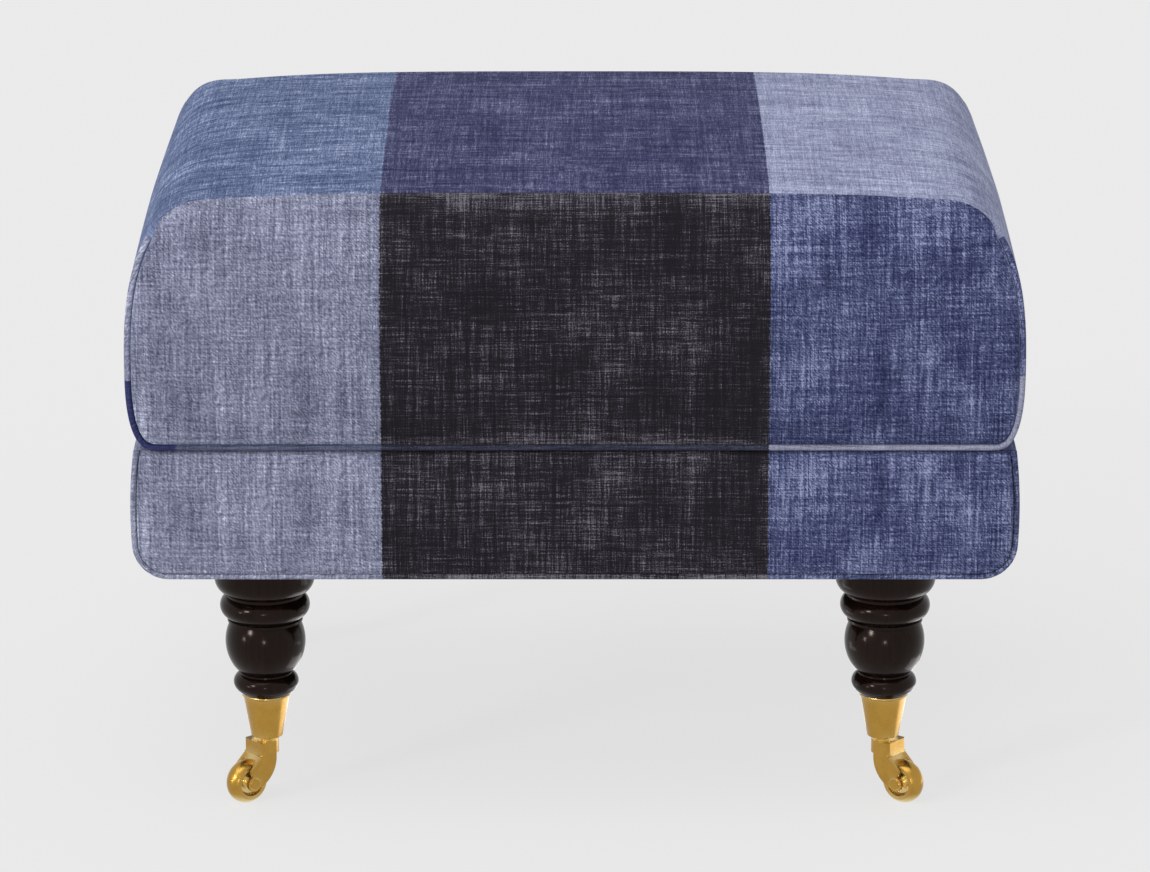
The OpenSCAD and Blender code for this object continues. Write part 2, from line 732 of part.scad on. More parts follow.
// Cushion piping: a cord from one upper corner round the bottom to the other
piping_turn = asin(pow((piping_stop - waist_z) / (shoulder_z - piping_r), fullness / 2));
function piping_path() = concat(
    top_corner(-1, piping_r, 180 - piping_turn, 180, 7),
    low_corner(-1, piping_r, 190, 270, 8),
    bottom_points(piping_r, 3),
    low_corner(1, piping_r, -90, -10, 8),
    top_corner(1, piping_r, 0, piping_turn, 7)
);

module cushion_piping(side) rotate([0, 0, side > 0 ? 180 : 0])
    cord([for (p = piping_path()) concat(p, piping_r - panel_end(p, p[1] + piping_r * p[3]))]);

module cushion_piping_front() color(denim_mid) cushion_piping(-1);
module cushion_piping_back() color(denim_mid) cushion_piping(1);

module cushion_platform() color(cream)
    slab(-low_x + soft_gap, low_x - soft_gap, -seat_d / 2 + panel_belly + notch,
        seat_d / 2 - panel_belly - notch, cushion_z, cushion_z + cover_t);

// Closed loaf that lies o inside the covers, with edges cut back so that they clear the piping
function loaf_station(p, v, o) = let (w = swell_at(p, v))
    [p[0] + w * p[2], v * (panel_end(p, p[1] + o) - o - notch), p[1] + w * p[3]];
function loaf_end(p, r, o, side) = let (
    e = notch + o,
    q = panel_point([p[0] - e * p[2], p[1] - e * p[3], p[2], p[3]], r, o + soft_gap)
) [q[0], -side * q[1], q[2]];

module loaf(o) {
    outside = concat(wrap_outline(0, 4, 6, 3), bottom_points(0, 3));
    outline = concat(wrap_outline(o, 4, 6, 3), bottom_points(o, 3));
    n = len(outline);
    stations = [-1, -0.7, 0, 0.7, 1];
    rings = [1, 0.9, 0.75, 0.5];
    points = concat(
        [loaf_end(outside[0], 0, o, -1)],
        [for (k = [len(rings) - 1 : -1 : 0]) each [for (p = outside) loaf_end(p, rings[k], o, -1)]],
        [for (v = stations) each [for (p = outline) loaf_station(p, v, o)]],
        [for (r = rings) each [for (p = outside) loaf_end(p, r, o, 1)]],
        [loaf_end(outside[0], 0, o, 1)]
    );
    m = 2 * len(rings) + len(stations);
    last = 1 + m * n;
    function id(k, i) = 1 + k * n + (i % n);
    polyhedron(
        points = points,
        faces = concat(
            [for (i = [0 : n - 1]) [0, id(0, i + 1), id(0, i)]],
            [for (k = [0 : m - 2], i = [0 : n - 1])
                each [[id(k, i), id(k, i + 1), id(k + 1, i + 1)], [id(k, i), id(k + 1, i + 1), id(k + 1, i)]]],
            [for (i = [0 : n - 1]) [last, id(m - 1, i), id(m - 1, i + 1)]]
        ),
        convexity = 6
    );
}

pad_in = cover_t + 2 * soft_gap;

module cushion_wadding() color(cream) difference() {
    loaf(pad_in);
    loaf(pad_in + wadding_t);
}

module foam_core() color([0.95, 0.85, 0.45]) loaf(pad_in + wadding_t + soft_gap);

// Legs: turned profile with its tapered tenon, bored for the hanger bolt
function cup_r(z) = cup_bottom_r + (cup_top_r - cup_bottom_r) * (z - cup_z) / (cup_h - 2 * rim_r);

module leg_profile() {
    neck_1 = rim_z + foot_ring_h;
    neck_2 = neck_1 + bulge_h;
    neck_3 = neck_2 + ring_h;
    tenon_z = cup_z + cup_floor + pintle_head_h + tenon_clear;
    polygon([
        [0, rim_z], [foot_edge_r, rim_z], [foot_edge_r + foot_slant, rim_z + foot_slant], [leg_neck_r[0], neck_1],
        [leg_neck_r[1], neck_2], [leg_neck_r[2], neck_3], [leg_neck_r[2], base_z], [0, base_z]
    ]);
    polygon([
        [0, tenon_z], [cup_r(tenon_z) - cup_wall - tenon_gap, tenon_z],
        [cup_r(rim_z - 2 * rim_r) - cup_wall - tenon_gap, rim_z - 2 * rim_r],
        [cup_r(rim_z - 2 * rim_r) - cup_wall - tenon_gap, rim_z + cut], [0, rim_z + cut]
    ]);
    translate([foot_ring_r - foot_bead_r, neck_1 - foot_bead_r - cut]) circle(r = foot_bead_r);
    intersection() {
        translate([bulge_r - bulge_arc_r, neck_2 - bulge_below_neck]) circle(r = bulge_arc_r, $fn = 96);
        translate([0, neck_1]) square([bulge_r + cut, bulge_h]);
    }
    translate([0, neck_2]) square([leg_neck_r[1] + lip_out, lip_h]);
    translate([ring_r - ring_bead_r, neck_3 - ring_bead_r]) circle(r = ring_bead_r);
    translate([flange_r - flange_bead_r, neck_3 + flange_bead_r]) circle(r = flange_bead_r);
    translate([0, neck_3 + flange_bead_r]) square([flange_r, base_z - neck_3 - flange_bead_r]);
    translate([0, base_z - cut]) square([leg_boss_r, cut + cover_t]);
}

module leg(c) color(espresso) difference() {
    at_corner(c) rotate_extrude($fn = 96) difference() {
        leg_profile();
        translate([bulge_r, rim_z + foot_ring_h + bulge_h - groove_below_neck]) circle(r = groove_r, $fn = 24);
    }
    at_corner(c) translate([0, 0, base_z - bolt_in_leg - cut])
        cylinder(r = bolt_r + fit_gap, h = bolt_in_leg + 10 * cut);
    cup_screw(c, cup_screw_r + fit_gap, 0);
}

module leg_fl() leg(fl);
module leg_fr() leg(fr);
module leg_bl() leg(bl);
module leg_br() leg(br);

// Castor cup: a tapered brass cup with a rolled rim and a floor bored for the pintle
module cup(c) color(brass) difference() {
    at_corner(c) rotate_extrude() difference() {
        union() {
            polygon([
                [0, cup_z], [cup_bottom_r, cup_z], [cup_r(rim_z - 2 * rim_r), rim_z - 2 * rim_r],
                [cup_r(rim_z - 2 * rim_r), rim_z], [0, rim_z]
            ]);
            translate([cup_r(rim_z - 2 * rim_r) - cup_wall + rim_r, rim_z - rim_r])
                circle(r = rim_r, $fn = 32);
        }
        polygon([
            [0, cup_z + cup_floor], [cup_r(cup_z + cup_floor) - cup_wall, cup_z + cup_floor],
            [cup_r(rim_z - 2 * rim_r) - cup_wall, rim_z - 2 * rim_r],
            [cup_r(rim_z - 2 * rim_r) - cup_wall, rim_z + cut], [0, rim_z + cut]
        ]);
        translate([0, cup_z - cut]) square([pintle_r + run_gap, cup_floor + 2 * cut]);
    }
    cup_screw(c, cup_screw_r + fit_gap, 0);
}

module cup_fl() cup(fl);
module cup_fr() cup(fr);
module cup_bl() cup(bl);
module cup_br() cup(br);

// Screw through each cup's inner side, on the side away from the nearer long edge
module cup_screw(c, r, head_r) at_corner(c) translate([0, 0, cup_screw_z])
    rotate([c[1] * 90, 0, 0]) {
        translate([0, 0, cup_r(cup_screw_z) - cup_screw_in]) cylinder(r = r, h = cup_screw_in + cut);
        if (head_r > 0) translate([0, 0, cup_r(cup_screw_z) + cut / 2])
            cylinder(r = head_r, h = cup_screw_head_h);
    }

module cup_screws() color(brass) for (c = CORNERS) cup_screw(c, cup_screw_r, cup_screw_head_r);

module swivel_collars() color(brass) for (c = CORNERS) at_corner(c)
    translate([0, 0, collar_z + face_gap]) difference() {
        cylinder(r = collar_r, h = collar_h - face_gap);
        translate([0, 0, -cut]) cylinder(r = pintle_r + run_gap, h = collar_h + 2 * cut);
    }

// Castor fork: a crown round the pintle and two swan-necked arms that end in axle bosses
module arm_outline() {
    centre = [trail + arc_over[0], wheel_r + arc_over[1]];
    sweep_r = centre[0] - arm_back;
    polygon(concat(
        [[arm_back, crown_z + cut]],
        [for (a = [180 : 7 : 250]) [centre[0] + sweep_r * cos(a), centre[1] + sweep_r * sin(a)]],
        [[trail, wheel_r], [trail + arm_knee[0], wheel_r + arm_knee[1]],
            [arm_front, 2 * wheel_r + arm_front_z], [arm_front, crown_z + cut]]
    ));
    translate([trail, wheel_r]) circle(r = boss_r);
}

module crown_outline() {
    circle(r = crown_r);
    translate([arm_back, -arm_out + crown_round]) square([arm_front - arm_back, 2 * (arm_out - crown_round)]);
    translate([arm_back, -arm_out]) square([arm_front - arm_back - crown_round, 2 * arm_out]);
    for (s = [-1, 1]) translate([arm_front - crown_round, s * (arm_out - crown_round)])
        circle(r = crown_round, $fn = 32);
}

module fork(c) color(brass) turned(c) difference() {
    union() {
        translate([0, 0, crown_z]) linear_extrude(height = crown_t) crown_outline();
        for (y = [arm_in, -arm_out]) translate([0, y + arm_t, 0]) rotate([90, 0, 0])
            linear_extrude(height = arm_t) arm_outline();
    }
    translate([0, 0, crown_z - cut]) cylinder(r = pintle_r + run_gap / 2, h = crown_t + 2 * cut);
    translate([trail, arm_out + cut, wheel_r]) rotate([90, 0, 0])
        cylinder(r = axle_r + run_gap / 2, h = 2 * (arm_out + cut));
}

module fork_fl() fork(fl);
module fork_fr() fork(fr);
module fork_bl() fork(bl);
module fork_br() fork(br);

// Pintle: riveted in the crown, headed above the cup's floor
module pintle(c) color(steel) turned(c) {
    translate([0, 0, crown_z]) cylinder(r = pintle_r, h = cup_z + cup_floor + face_gap - crown_z);
    translate([0, 0, cup_z + cup_floor + face_gap])
        cylinder(r = pintle_head_r, h = pintle_head_h - face_gap);
}

module pintle_fl() pintle(fl);
module pintle_fr() pintle(fr);
module pintle_bl() pintle(bl);
module pintle_br() pintle(br);

// Axle: a plain pin with a rivet head on each side of the fork
module axle(c) color(brass) turned(c) translate([trail, 0, wheel_r]) rotate([90, 0, 0]) {
    cylinder(r = axle_r, h = 2 * arm_out, center = true);
    for (s = [-1, 1]) translate([0, 0, s * (arm_out + axle_head_h / 2)])
        cylinder(r = axle_head_r, h = axle_head_h, center = true);
}

module axle_fl() axle(fl);
module axle_fr() axle(fr);
module axle_bl() axle(bl);
module axle_br() axle(br);

// Wheel: crowned tread, dished flanks and a hub that stands up to the fork arms
module wheel_profile() {
    tread_arc = (tread_drop * tread_drop + wheel_w * wheel_w / 4) / (2 * tread_drop);
    difference() {
        intersection() {
            translate([wheel_r - tread_arc, 0]) circle(r = tread_arc, $fn = 96);
            translate([0, -wheel_w / 2]) square([wheel_r + cut, wheel_w]);
        }
        for (s = [-1, 1]) polygon([
            [0, s * dish_w], [dish_r - cut, s * dish_w], [dish_r, s * (dish_w + cut)],
            [dish_r + cut, s * (wheel_w / 2 + cut)], [0, s * (wheel_w / 2 + cut)]
        ]);
    }
    translate([0, -wheel_w / 2 - hub_out]) square([hub_r, wheel_w + 2 * hub_out]);
}

module wheel(c) color(brass) turned(c) translate([trail, 0, wheel_r]) rotate([90, 0, 0])
    rotate_extrude() difference() {
        wheel_profile();
        translate([-cut, -wheel_w]) square([axle_r + run_gap + cut, 2 * wheel_w]);
    }

module wheel_fl() wheel(fl);
module wheel_fr() wheel(fr);
module wheel_bl() wheel(bl);
module wheel_br() wheel(br);

front_rail();
back_rail();
left_rail();
right_rail();
centre_rail();
corner_blocks();
rail_dowels();
block_screws();
webbing_lengthwise();
webbing_crosswise();
hessian();
base_wadding();
base_front_panel();
base_back_panel();
base_side_left();
base_side_right();
base_piping_front();
base_piping_back();
dust_cover();
foam_core();
cushion_wadding();
cushion_platform();
cushion_top_cover();
cushion_front_panel();
cushion_back_panel();
cushion_piping_front();
cushion_piping_back();
leg_fl();
leg_fr();
leg_bl();
leg_br();
hanger_bolts();
tee_nuts();
cup_fl();
cup_fr();
cup_bl();
cup_br();
cup_screws();
swivel_collars();
fork_fl();
fork_fr();
fork_bl();
fork_br();
pintle_fl();
pintle_fr();
pintle_bl();
pintle_br();
axle_fl();
axle_fr();
axle_bl();
axle_br();
wheel_fl();
wheel_fr();
wheel_bl();
wheel_br();
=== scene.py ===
"""Patchwork denim footstool: a loaf cushion on a covered box base, and turned legs in brass cup castors.

The CAD frame gives the legs, castors, rails and fixings; the soft pieces, the materials and the stage are made here.
Lengths are in metres; x runs to the right, y to the back and z up.
"""

import math

import bmesh
import bpy
import numpy as np
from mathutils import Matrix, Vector


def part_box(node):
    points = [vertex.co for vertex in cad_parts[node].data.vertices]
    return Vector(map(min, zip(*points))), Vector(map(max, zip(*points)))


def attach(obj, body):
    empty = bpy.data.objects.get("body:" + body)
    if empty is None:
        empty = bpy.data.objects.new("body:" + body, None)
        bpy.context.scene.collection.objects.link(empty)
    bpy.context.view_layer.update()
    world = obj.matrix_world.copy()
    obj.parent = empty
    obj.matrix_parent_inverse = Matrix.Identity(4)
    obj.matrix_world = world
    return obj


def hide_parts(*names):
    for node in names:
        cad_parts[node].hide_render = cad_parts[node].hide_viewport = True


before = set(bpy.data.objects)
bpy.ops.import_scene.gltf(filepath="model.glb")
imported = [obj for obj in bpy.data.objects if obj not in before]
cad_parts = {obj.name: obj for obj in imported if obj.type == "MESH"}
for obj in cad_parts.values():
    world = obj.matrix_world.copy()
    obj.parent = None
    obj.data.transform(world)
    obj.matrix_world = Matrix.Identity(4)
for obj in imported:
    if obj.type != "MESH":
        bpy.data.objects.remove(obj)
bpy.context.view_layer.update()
scene = bpy.context.scene
BODY = "stool"

# -------- sizes
SEAT_W, SEAT_D = 0.630, 0.460
# cushion: heights of its underside, top seam, widest place and middle
CUSHION_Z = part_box("cushion_platform")[0][2]
SEAM_Z = CUSHION_Z + 0.179
WAIST_Z = CUSHION_Z + 0.059
MID_Z = (CUSHION_Z + SEAM_Z) / 2
# widths of its upper and lower corners, their starts, and how full a curve is (2 is an ellipse)
TOP_W, LOW_W, FULLNESS = 0.058, 0.021, 2.6
TOP_X, LOW_X = SEAT_W / 2 - TOP_W, SEAT_W / 2 - LOW_W
# the top seam's rise to its middle, and the wrap's swell on top and at its sides
TOP_RISE, CROWN, SIDE_BELLY = 0.0055, 0.0046, 0.0010
SHOULDER_Z = SEAM_Z - TOP_RISE - WAIST_Z
# how far the end panels lean back, over which height, up to where, and their belly
SHOULDER_D, SHOULDER_H, LEAN_TOP = 0.050, 0.138, SEAM_Z + 0.001
PANEL_BELLY = 0.006
# piping, and the notch that it lies in
PIPING_R, GAP, CLOTH_T = 0.0023, 0.0003, 0.0012
NOTCH = 2 * PIPING_R + GAP
# heights where the cushion's piping takes the panel's cloth and ends, and how its notch closes above
CUFF_Z, PIPING_STOP, NOTCH_CLOSE = CUSHION_Z + 0.053, CUSHION_Z + 0.150, 0.010
# base: its box, its corners' radii, the belly of its sides and the big radius that gives it
BASE_Z, BASE_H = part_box("base_side_left")[0][2], 0.095
BASE_TOP, BASE_MID = BASE_Z + BASE_H, BASE_Z + BASE_H / 2
BASE_W, BASE_D, BASE_END = 0.626, 0.452, 0.223
BASE_LOW_R, BASE_EDGE_R, BASE_BELLY = 0.026, 0.008, 0.003
BIG_R = (BASE_H ** 2 / 4 + BASE_BELLY ** 2) / (2 * BASE_BELLY)
# cloth turned in over and under the frame, and the puff of the base's covers
TURN_IN, PUFF = 0.036, 0.0012
TURN_X = BASE_W / 2 - BASE_LOW_R - TURN_IN
RAIL_X, RAIL_Y, RAIL_T, RAIL_TOP = 0.3045, 0.2175, 0.022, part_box("webbing_lengthwise")[0][2]
LEG_X, LEG_Y = 0.2225, 0.165
PATCH_X = 0.136

# -------- stage: camera, floor, cards and lamps
CAMERA_LENS, CAMERA_AT, CAMERA_TILT = 175.3, (0, -3.9858, 1.400), 73.55
FLOOR_LEVEL, FLOOR_SEEN, FLOOR_R, FLOOR_ALBEDO = 0.838, 0.84, 30, 0.80
WORLD_LIGHT = 0.54
CARD_Z, CARD_LEVEL = 0.0005, 2.3
CARDS = (  # name, near left corner from a front leg's axis, width, depth
    ("card_beside", 0.085, 0.0, 0.085, 0.17),
    ("card_behind", -0.060, 0.13, 0.145, 0.10),
)
SUNS = (  # name, direction of its light, strength, angle across in degrees
    ("sun_top", (0.24, 0.30, -1.0), 0.98, 50),
    ("key", (0.665, 0.624, -0.411), 0.86, 9.5),
    ("spark_left", (0.87, 0.46, -0.10), 0.22, 5.5),
    ("spark_front", (0.02, 0.99, -0.10), 0.18, 5.5),
)


def new_object(name, data):
    obj = bpy.data.objects.new(name, data)
    scene.collection.objects.link(obj)
    return obj


def node(tree, kind, sockets=None, **props):
    """New shader node; a socket gets a value, or a link where another node's socket is given."""
    n = tree.nodes.new("ShaderNode" + kind)
    for k, v in props.items():
        setattr(n, k, v)
    for k, v in (sockets or {}).items():
        if isinstance(v, bpy.types.NodeSocket):
            tree.links.new(v, n.inputs[k])
        else:
            n.inputs[k].default_value = v
    return n


def maths(tree, op, a, b):
    return node(tree, "Math", {0: a, 1: b}, operation=op).outputs[0]


def background_rays(tree):
    """1 for the camera's rays and those in reflections and clear things, which see the background as it is."""
    rays = node(tree, "LightPath").outputs
    return maths(tree, "MAXIMUM", rays["Is Camera Ray"],
                 maths(tree, "MAXIMUM", rays["Is Glossy Ray"], rays["Is Transmission Ray"]))


def set_output(tree, kind, share, lit, seen):
    mix = node(tree, "MixShader", {0: share, 1: lit.outputs[0], 2: seen.outputs[0]})
    node(tree, kind, {0: mix.outputs[0]})


def empty_material(name, mesh):
    """New material without nodes on a mesh; gives its node tree."""
    mat = bpy.data.materials.new(name)
    mat.use_nodes = True
    mat.node_tree.nodes.clear()
    mesh.materials.append(mat)
    return mat.node_tree


def add_camera():
    """Camera at the photograph's angle, about 16 degrees above, and with its perspective."""
    data = bpy.data.cameras.new("camera")
    cam = new_object("camera", data)
    data.lens, data.sensor_width, data.sensor_fit = CAMERA_LENS, 36.0, "HORIZONTAL"
    data.clip_start, data.clip_end = 0.1, 60
    cam.location = CAMERA_AT
    cam.rotation_euler = (math.radians(CAMERA_TILT), 0, 0)
    scene.camera = cam


def add_world():
    """World that is seen as the floor's grey and lights the object in white."""
    world = bpy.data.worlds.new("studio")
    world.use_nodes = True
    tree = world.node_tree
    tree.nodes.clear()
    lit = node(tree, "Background", {"Color": (1, 1, 1, 1), "Strength": WORLD_LIGHT})
    seen = node(tree, "Background", {"Color": (*(FLOOR_LEVEL,) * 3, 1), "Strength": 1.0})
    set_output(tree, "OutputWorld", background_rays(tree), lit, seen)
    scene.world = world


def add_floor():
    """Floor that is seen mostly as one grey; the rest of it takes light and keeps the object's shadow."""
    bm = bmesh.new()
    bmesh.ops.create_circle(bm, cap_ends=True, segments=96, radius=FLOOR_R)
    mesh = bpy.data.meshes.new("floor")
    bm.to_mesh(mesh)
    bm.free()
    floor = new_object("floor", mesh)
    tree = empty_material("floor", mesh)
    lit = node(tree, "BsdfDiffuse", {"Color": (*(FLOOR_ALBEDO,) * 3, 1)})
    seen = node(tree, "Emission", {"Color": (*(FLOOR_LEVEL,) * 3, 1)})
    set_output(tree, "OutputMaterial", maths(tree, "MULTIPLY", background_rays(tree), FLOOR_SEEN), lit, seen)


def add_card(name, x, y, width, depth):
    """Bright card on the floor, seen only in reflections, as a photographer lays beside polished brass."""
    mesh = bpy.data.meshes.new(name)
    corners = [(x, y), (x + width, y), (x + width, y + depth), (x, y + depth)]
    mesh.from_pydata([(*c, CARD_Z) for c in corners], [], [(0, 1, 2, 3)])
    card = new_object(name, mesh)
    tree = empty_material(name, mesh)
    glow = node(tree, "Emission", {"Color": (1, 1, 1, 1), "Strength": CARD_LEVEL})
    node(tree, "OutputMaterial", {0: glow.outputs[0]})
    card.visible_camera = card.visible_diffuse = card.visible_shadow = card.visible_transmission = False


def add_sun(name, direction, strength, angle):
    data = bpy.data.lights.new(name, "SUN")
    data.energy, data.angle = strength, math.radians(angle)
    new_object(name, data).rotation_euler = Vector(direction).to_track_quat("-Z", "Y").to_euler()


scene.view_settings.view_transform = "Standard"
add_camera()
add_world()
add_floor()
for leg_x in (-LEG_X, LEG_X):
    for card_name, dx, dy, card_w, card_d in CARDS:
        add_card(card_name, leg_x + dx, -LEG_Y + dy, card_w, card_d)
for sun in SUNS:
    add_sun(*sun)


# -------- material helpers
def linear(rgb):
    """sRGB 0-255 to linear."""
    c = np.array(rgb, float) / 255
    return tuple(np.where(c <= 0.04045, c / 12.92, ((c + 0.055) / 1.055) ** 2.4))


def new_material(name, **sockets):
    """Material with a Principled shader and the given values on its own sockets."""
    mat = bpy.data.materials.new(name)
    mat.use_nodes = True
    bsdf = mat.node_tree.nodes["Principled BSDF"]
    for k, v in sockets.items():
        bsdf.inputs[k.replace("_", " ")].default_value = v
    return mat, mat.node_tree, bsdf


def finish_surface(tree, bsdf, colour, height, bump, depth, rough=None):
    """Link colour, a bump of some strength and depth and, where it is given, roughness to the shader."""
    normal = node(tree, "Bump", {"Strength": bump, "Distance": depth, "Height": height}).outputs[0]
    for socket, target in ((colour, "Base Color"), (normal, "Normal"), (rough, "Roughness")):
        if socket is not None:
            tree.links.new(socket, bsdf.inputs[target])


def in_object(tree):
    return node(tree, "TexCoord").outputs["Object"]


def scaled(tree, vector, scale):
    return node(tree, "VectorMath", {0: vector, 1: scale}, operation="MULTIPLY").outputs[0]


def noise(tree, vector, detail, rough, seed):
    moved = node(tree, "VectorMath", {0: vector, 1: (0, 0, seed)}).outputs[0]
    return node(tree, "TexNoise", {"Vector": moved, "Scale": 1.0, "Detail": detail, "Roughness": rough}).outputs["Fac"]


def remap(tree, value, start, end, low=0.0, high=1.0):
    return node(tree, "MapRange", {0: value, 1: start, 2: end, 3: low, 4: high}).outputs[0]


def mix_colours(tree, share, a, b):
    return node(tree, "Mix", {0: share, 6: a, 7: b}, data_type="RGBA").outputs[2]


def mix_values(tree, share, a, b):
    return node(tree, "Mix", {0: share, 2: a, 3: b}, data_type="FLOAT").outputs[0]


def ramp(tree, fac, stops):
    """Colour ramp through stops of (place, sRGB colour)."""
    n = node(tree, "ValToRGB", {0: fac})
    el = n.color_ramp.elements
    while len(el) < len(stops):
        el.new(0.5)
    for e, (pos, rgb) in zip(el, stops):
        e.position, e.color = pos, (*linear(rgb), 1)
    return n.outputs[0]


def weighted(tree, parts):
    """0.5 + the sum of weight * (part - 0.5)."""
    total = 0.5 - 0.5 * sum(weight for _, weight in parts)
    for part, weight in parts:
        total = node(tree, "Math", {0: part, 1: weight, 2: total}, operation="MULTIPLY_ADD").outputs[0]
    return total


# -------- denim
PATTERNS = (
    # repeats in a metre along u and v, kind, detail, roughness, seed
    (1150, 55, "", 1.5, 0.6, 0),        # warp
    (55, 1150, "slubs", 1.5, 0.6, 3),   # weft
    (420, 9, "", 1.0, 0.5, 5),          # long streaks of the warp
    (9, 420, "slubs", 1.0, 0.5, 7),     # long streaks of the weft
    (820, 230, "twill", 1.0, 0.5, 9),   # twill, along the cloth's diagonals
    (900, 900, "slubs", 1.0, 0.6, 11),  # grain
    (22, 16, "", 3.0, 0.6, 13),         # blotches
)
CORD = (0.3, 0.8, 0.2, 0.3, 0.3, 0.8, 0.3)
CLOTHS = {
    # name: weight of each pattern, stops of the colour ramp
    "lavender": ((0.65, 0.55, 0.60, 0.35, 1.15, 0.6, 0.55),
        [(0.12, (66, 70, 92)), (0.50, (117, 120, 143)), (0.80, (160, 164, 188)), (1.0, (204, 207, 226))]),
    "charcoal": ((0.80, 0.85, 0.5, 0.5, 0.1, 0.75, 0.65),
        [(0.30, (28, 26, 31)), (0.56, (36, 34, 40)), (0.73, (68, 65, 73)), (0.95, (120, 116, 126))]),
    "blue": ((0.75, 0.65, 0.55, 0.4, 0.95, 0.6, 0.75),
        [(0.16, (34, 38, 72)), (0.46, (61, 67, 101)), (0.66, (94, 101, 138)), (0.92, (150, 157, 190))]),
    "steel_blue": ((0.8, 1.0, 0.5, 0.7, 0.1, 0.9, 0.5),
        [(0.12, (60, 72, 106)), (0.50, (94, 108, 143)), (0.80, (138, 150, 184)), (1.0, (186, 194, 220))]),
    "indigo": ((0.9, 0.9, 0.6, 0.6, 0.1, 0.8, 0.5),
        [(0.14, (38, 38, 70)), (0.50, (62, 64, 101)), (0.82, (104, 105, 138)), (1.0, (150, 152, 182))]),
    "pale": ((0.8, 0.8, 0.5, 0.5, 0.1, 0.8, 0.6),
        [(0.12, (104, 108, 138)), (0.50, (145, 150, 180)), (0.85, (184, 189, 216)), (1.0, (206, 210, 230))]),
    "slate": (CORD, [(0.2, (38, 44, 70)), (0.5, (82, 89, 114)), (0.85, (112, 119, 144))]),
    "navy": (CORD, [(0.2, (34, 38, 80)), (0.5, (48, 52, 94)), (0.85, (84, 88, 128))]),
    "navy_black": (CORD, [(0.25, (28, 29, 42)), (0.55, (54, 56, 73)), (0.85, (84, 85, 104))]),
    "light_grey": (CORD, [(0.2, (88, 91, 112)), (0.5, (138, 141, 164)), (0.85, (172, 175, 196))]),
}
# how much paler (negative: darker) a cloth is along its seams, and towards the top of the cushion's end: wear together
# with painted light, a painted highlight where the panel curves back towards the light above, and painted shade along
# the blue's seams
WEAR_AND_PAINTED_LIGHT = {"lavender": (0.07, 0.03), "charcoal": (0.22, 0.0), "blue": (-0.08, 0.12)}
# where that wear and painted light run: distances from the seam, and lengths up the cloth
SEAM_WEAR_AND_PAINTED_LIGHT, TOP_WEAR_AND_PAINTED_HIGHLIGHT = (0.001, 0.013), (0.135, 0.195)
# where two cloths meet: how far the line jags and how wide it changes over, and the jags' repeats in a metre
JAG, CHANGE, JAG_REPEATS = 0.0022, 0.0003, (5, 700, 0)
# how much paler the base's cloth is painted than the same cloth on the cushion: painted light against the shade that
# falls on the base under the cushion
BASE_PAINTED_LIGHT = 0.045


def weave(tree, uv, diagonal, seed, slub):
    """The patterns along the cloth, from its own measure of it; slub gives threads that many times thicker along v."""
    found = []
    for along_u, along_v, kind, detail, rough, step in PATTERNS:
        scale = (along_u, along_v / slub if kind == "slubs" else along_v, 0)
        at = scaled(tree, diagonal if kind == "twill" else uv, scale)
        found.append(noise(tree, at, detail, rough, seed + step))
    return found


def patch_cloth(name, cloths, seed, worn_and_painted_light=False, slub=1.0, meet=(-PATCH_X, PATCH_X), painted_lift=0.0):
    """Denim in columns: cloths, from left to right, meet at the places given."""
    mat, tree, bsdf = new_material(name, Roughness=0.9, Sheen_Weight=0.02, Sheen_Roughness=0.5,
                                   Sheen_Tint=(0.80, 0.84, 1.0, 1), Specular_IOR_Level=0.08)
    uv = node(tree, "UVMap", uv_map="cloth").outputs[0]
    u, v, _ = node(tree, "SeparateXYZ", {0: uv}).outputs
    diagonal = node(tree, "CombineXYZ", {0: maths(tree, "ADD", u, v), 1: maths(tree, "SUBTRACT", u, v)})
    patterns = weave(tree, uv, diagonal.outputs[0], seed, slub)
    colours, heights = [], []
    for cloth in cloths:
        weights, stops = CLOTHS[cloth]
        value = weighted(tree, [*zip(patterns, weights)])
        # painted light: the base's copy of a cloth made paler against the shade under the cushion
        if painted_lift:
            value = maths(tree, "ADD", value, painted_lift)
        # wear and painted light near the seams and towards the top of the end panels: painted highlight where paler,
        # painted shade along the blue's seams
        if worn_and_painted_light:
            seam_gain, top_gain = WEAR_AND_PAINTED_LIGHT[cloth]
            rim = node(tree, "Attribute", attribute_name="rim").outputs["Fac"]
            value = maths(tree, "ADD", value, remap(tree, rim, *SEAM_WEAR_AND_PAINTED_LIGHT, seam_gain, 0.0))
            value = maths(tree, "ADD", value, remap(tree, v, *TOP_WEAR_AND_PAINTED_HIGHLIGHT, 0.0, top_gain))
        colours.append(ramp(tree, value, stops))
        heights.append(value)
    colour, height = colours[0], heights[0]
    if len(cloths) > 1:
        jag = noise(tree, scaled(tree, uv, JAG_REPEATS), 0.0, 0.5, seed + 21)
        jagged = maths(tree, "ADD", u, maths(tree, "MULTIPLY", maths(tree, "SUBTRACT", jag, 0.5), JAG))
        for k, place in enumerate(meet):
            share = remap(tree, jagged, place - CHANGE, place + CHANGE)
            colour = mix_colours(tree, share, colour, colours[k + 1])
            height = mix_values(tree, share, height, heights[k + 1])
    finish_surface(tree, bsdf, colour, height, bump=0.35, depth=0.0004,
                   rough=remap(tree, height, 0.2, 0.8, 0.95, 0.78))
    return mat


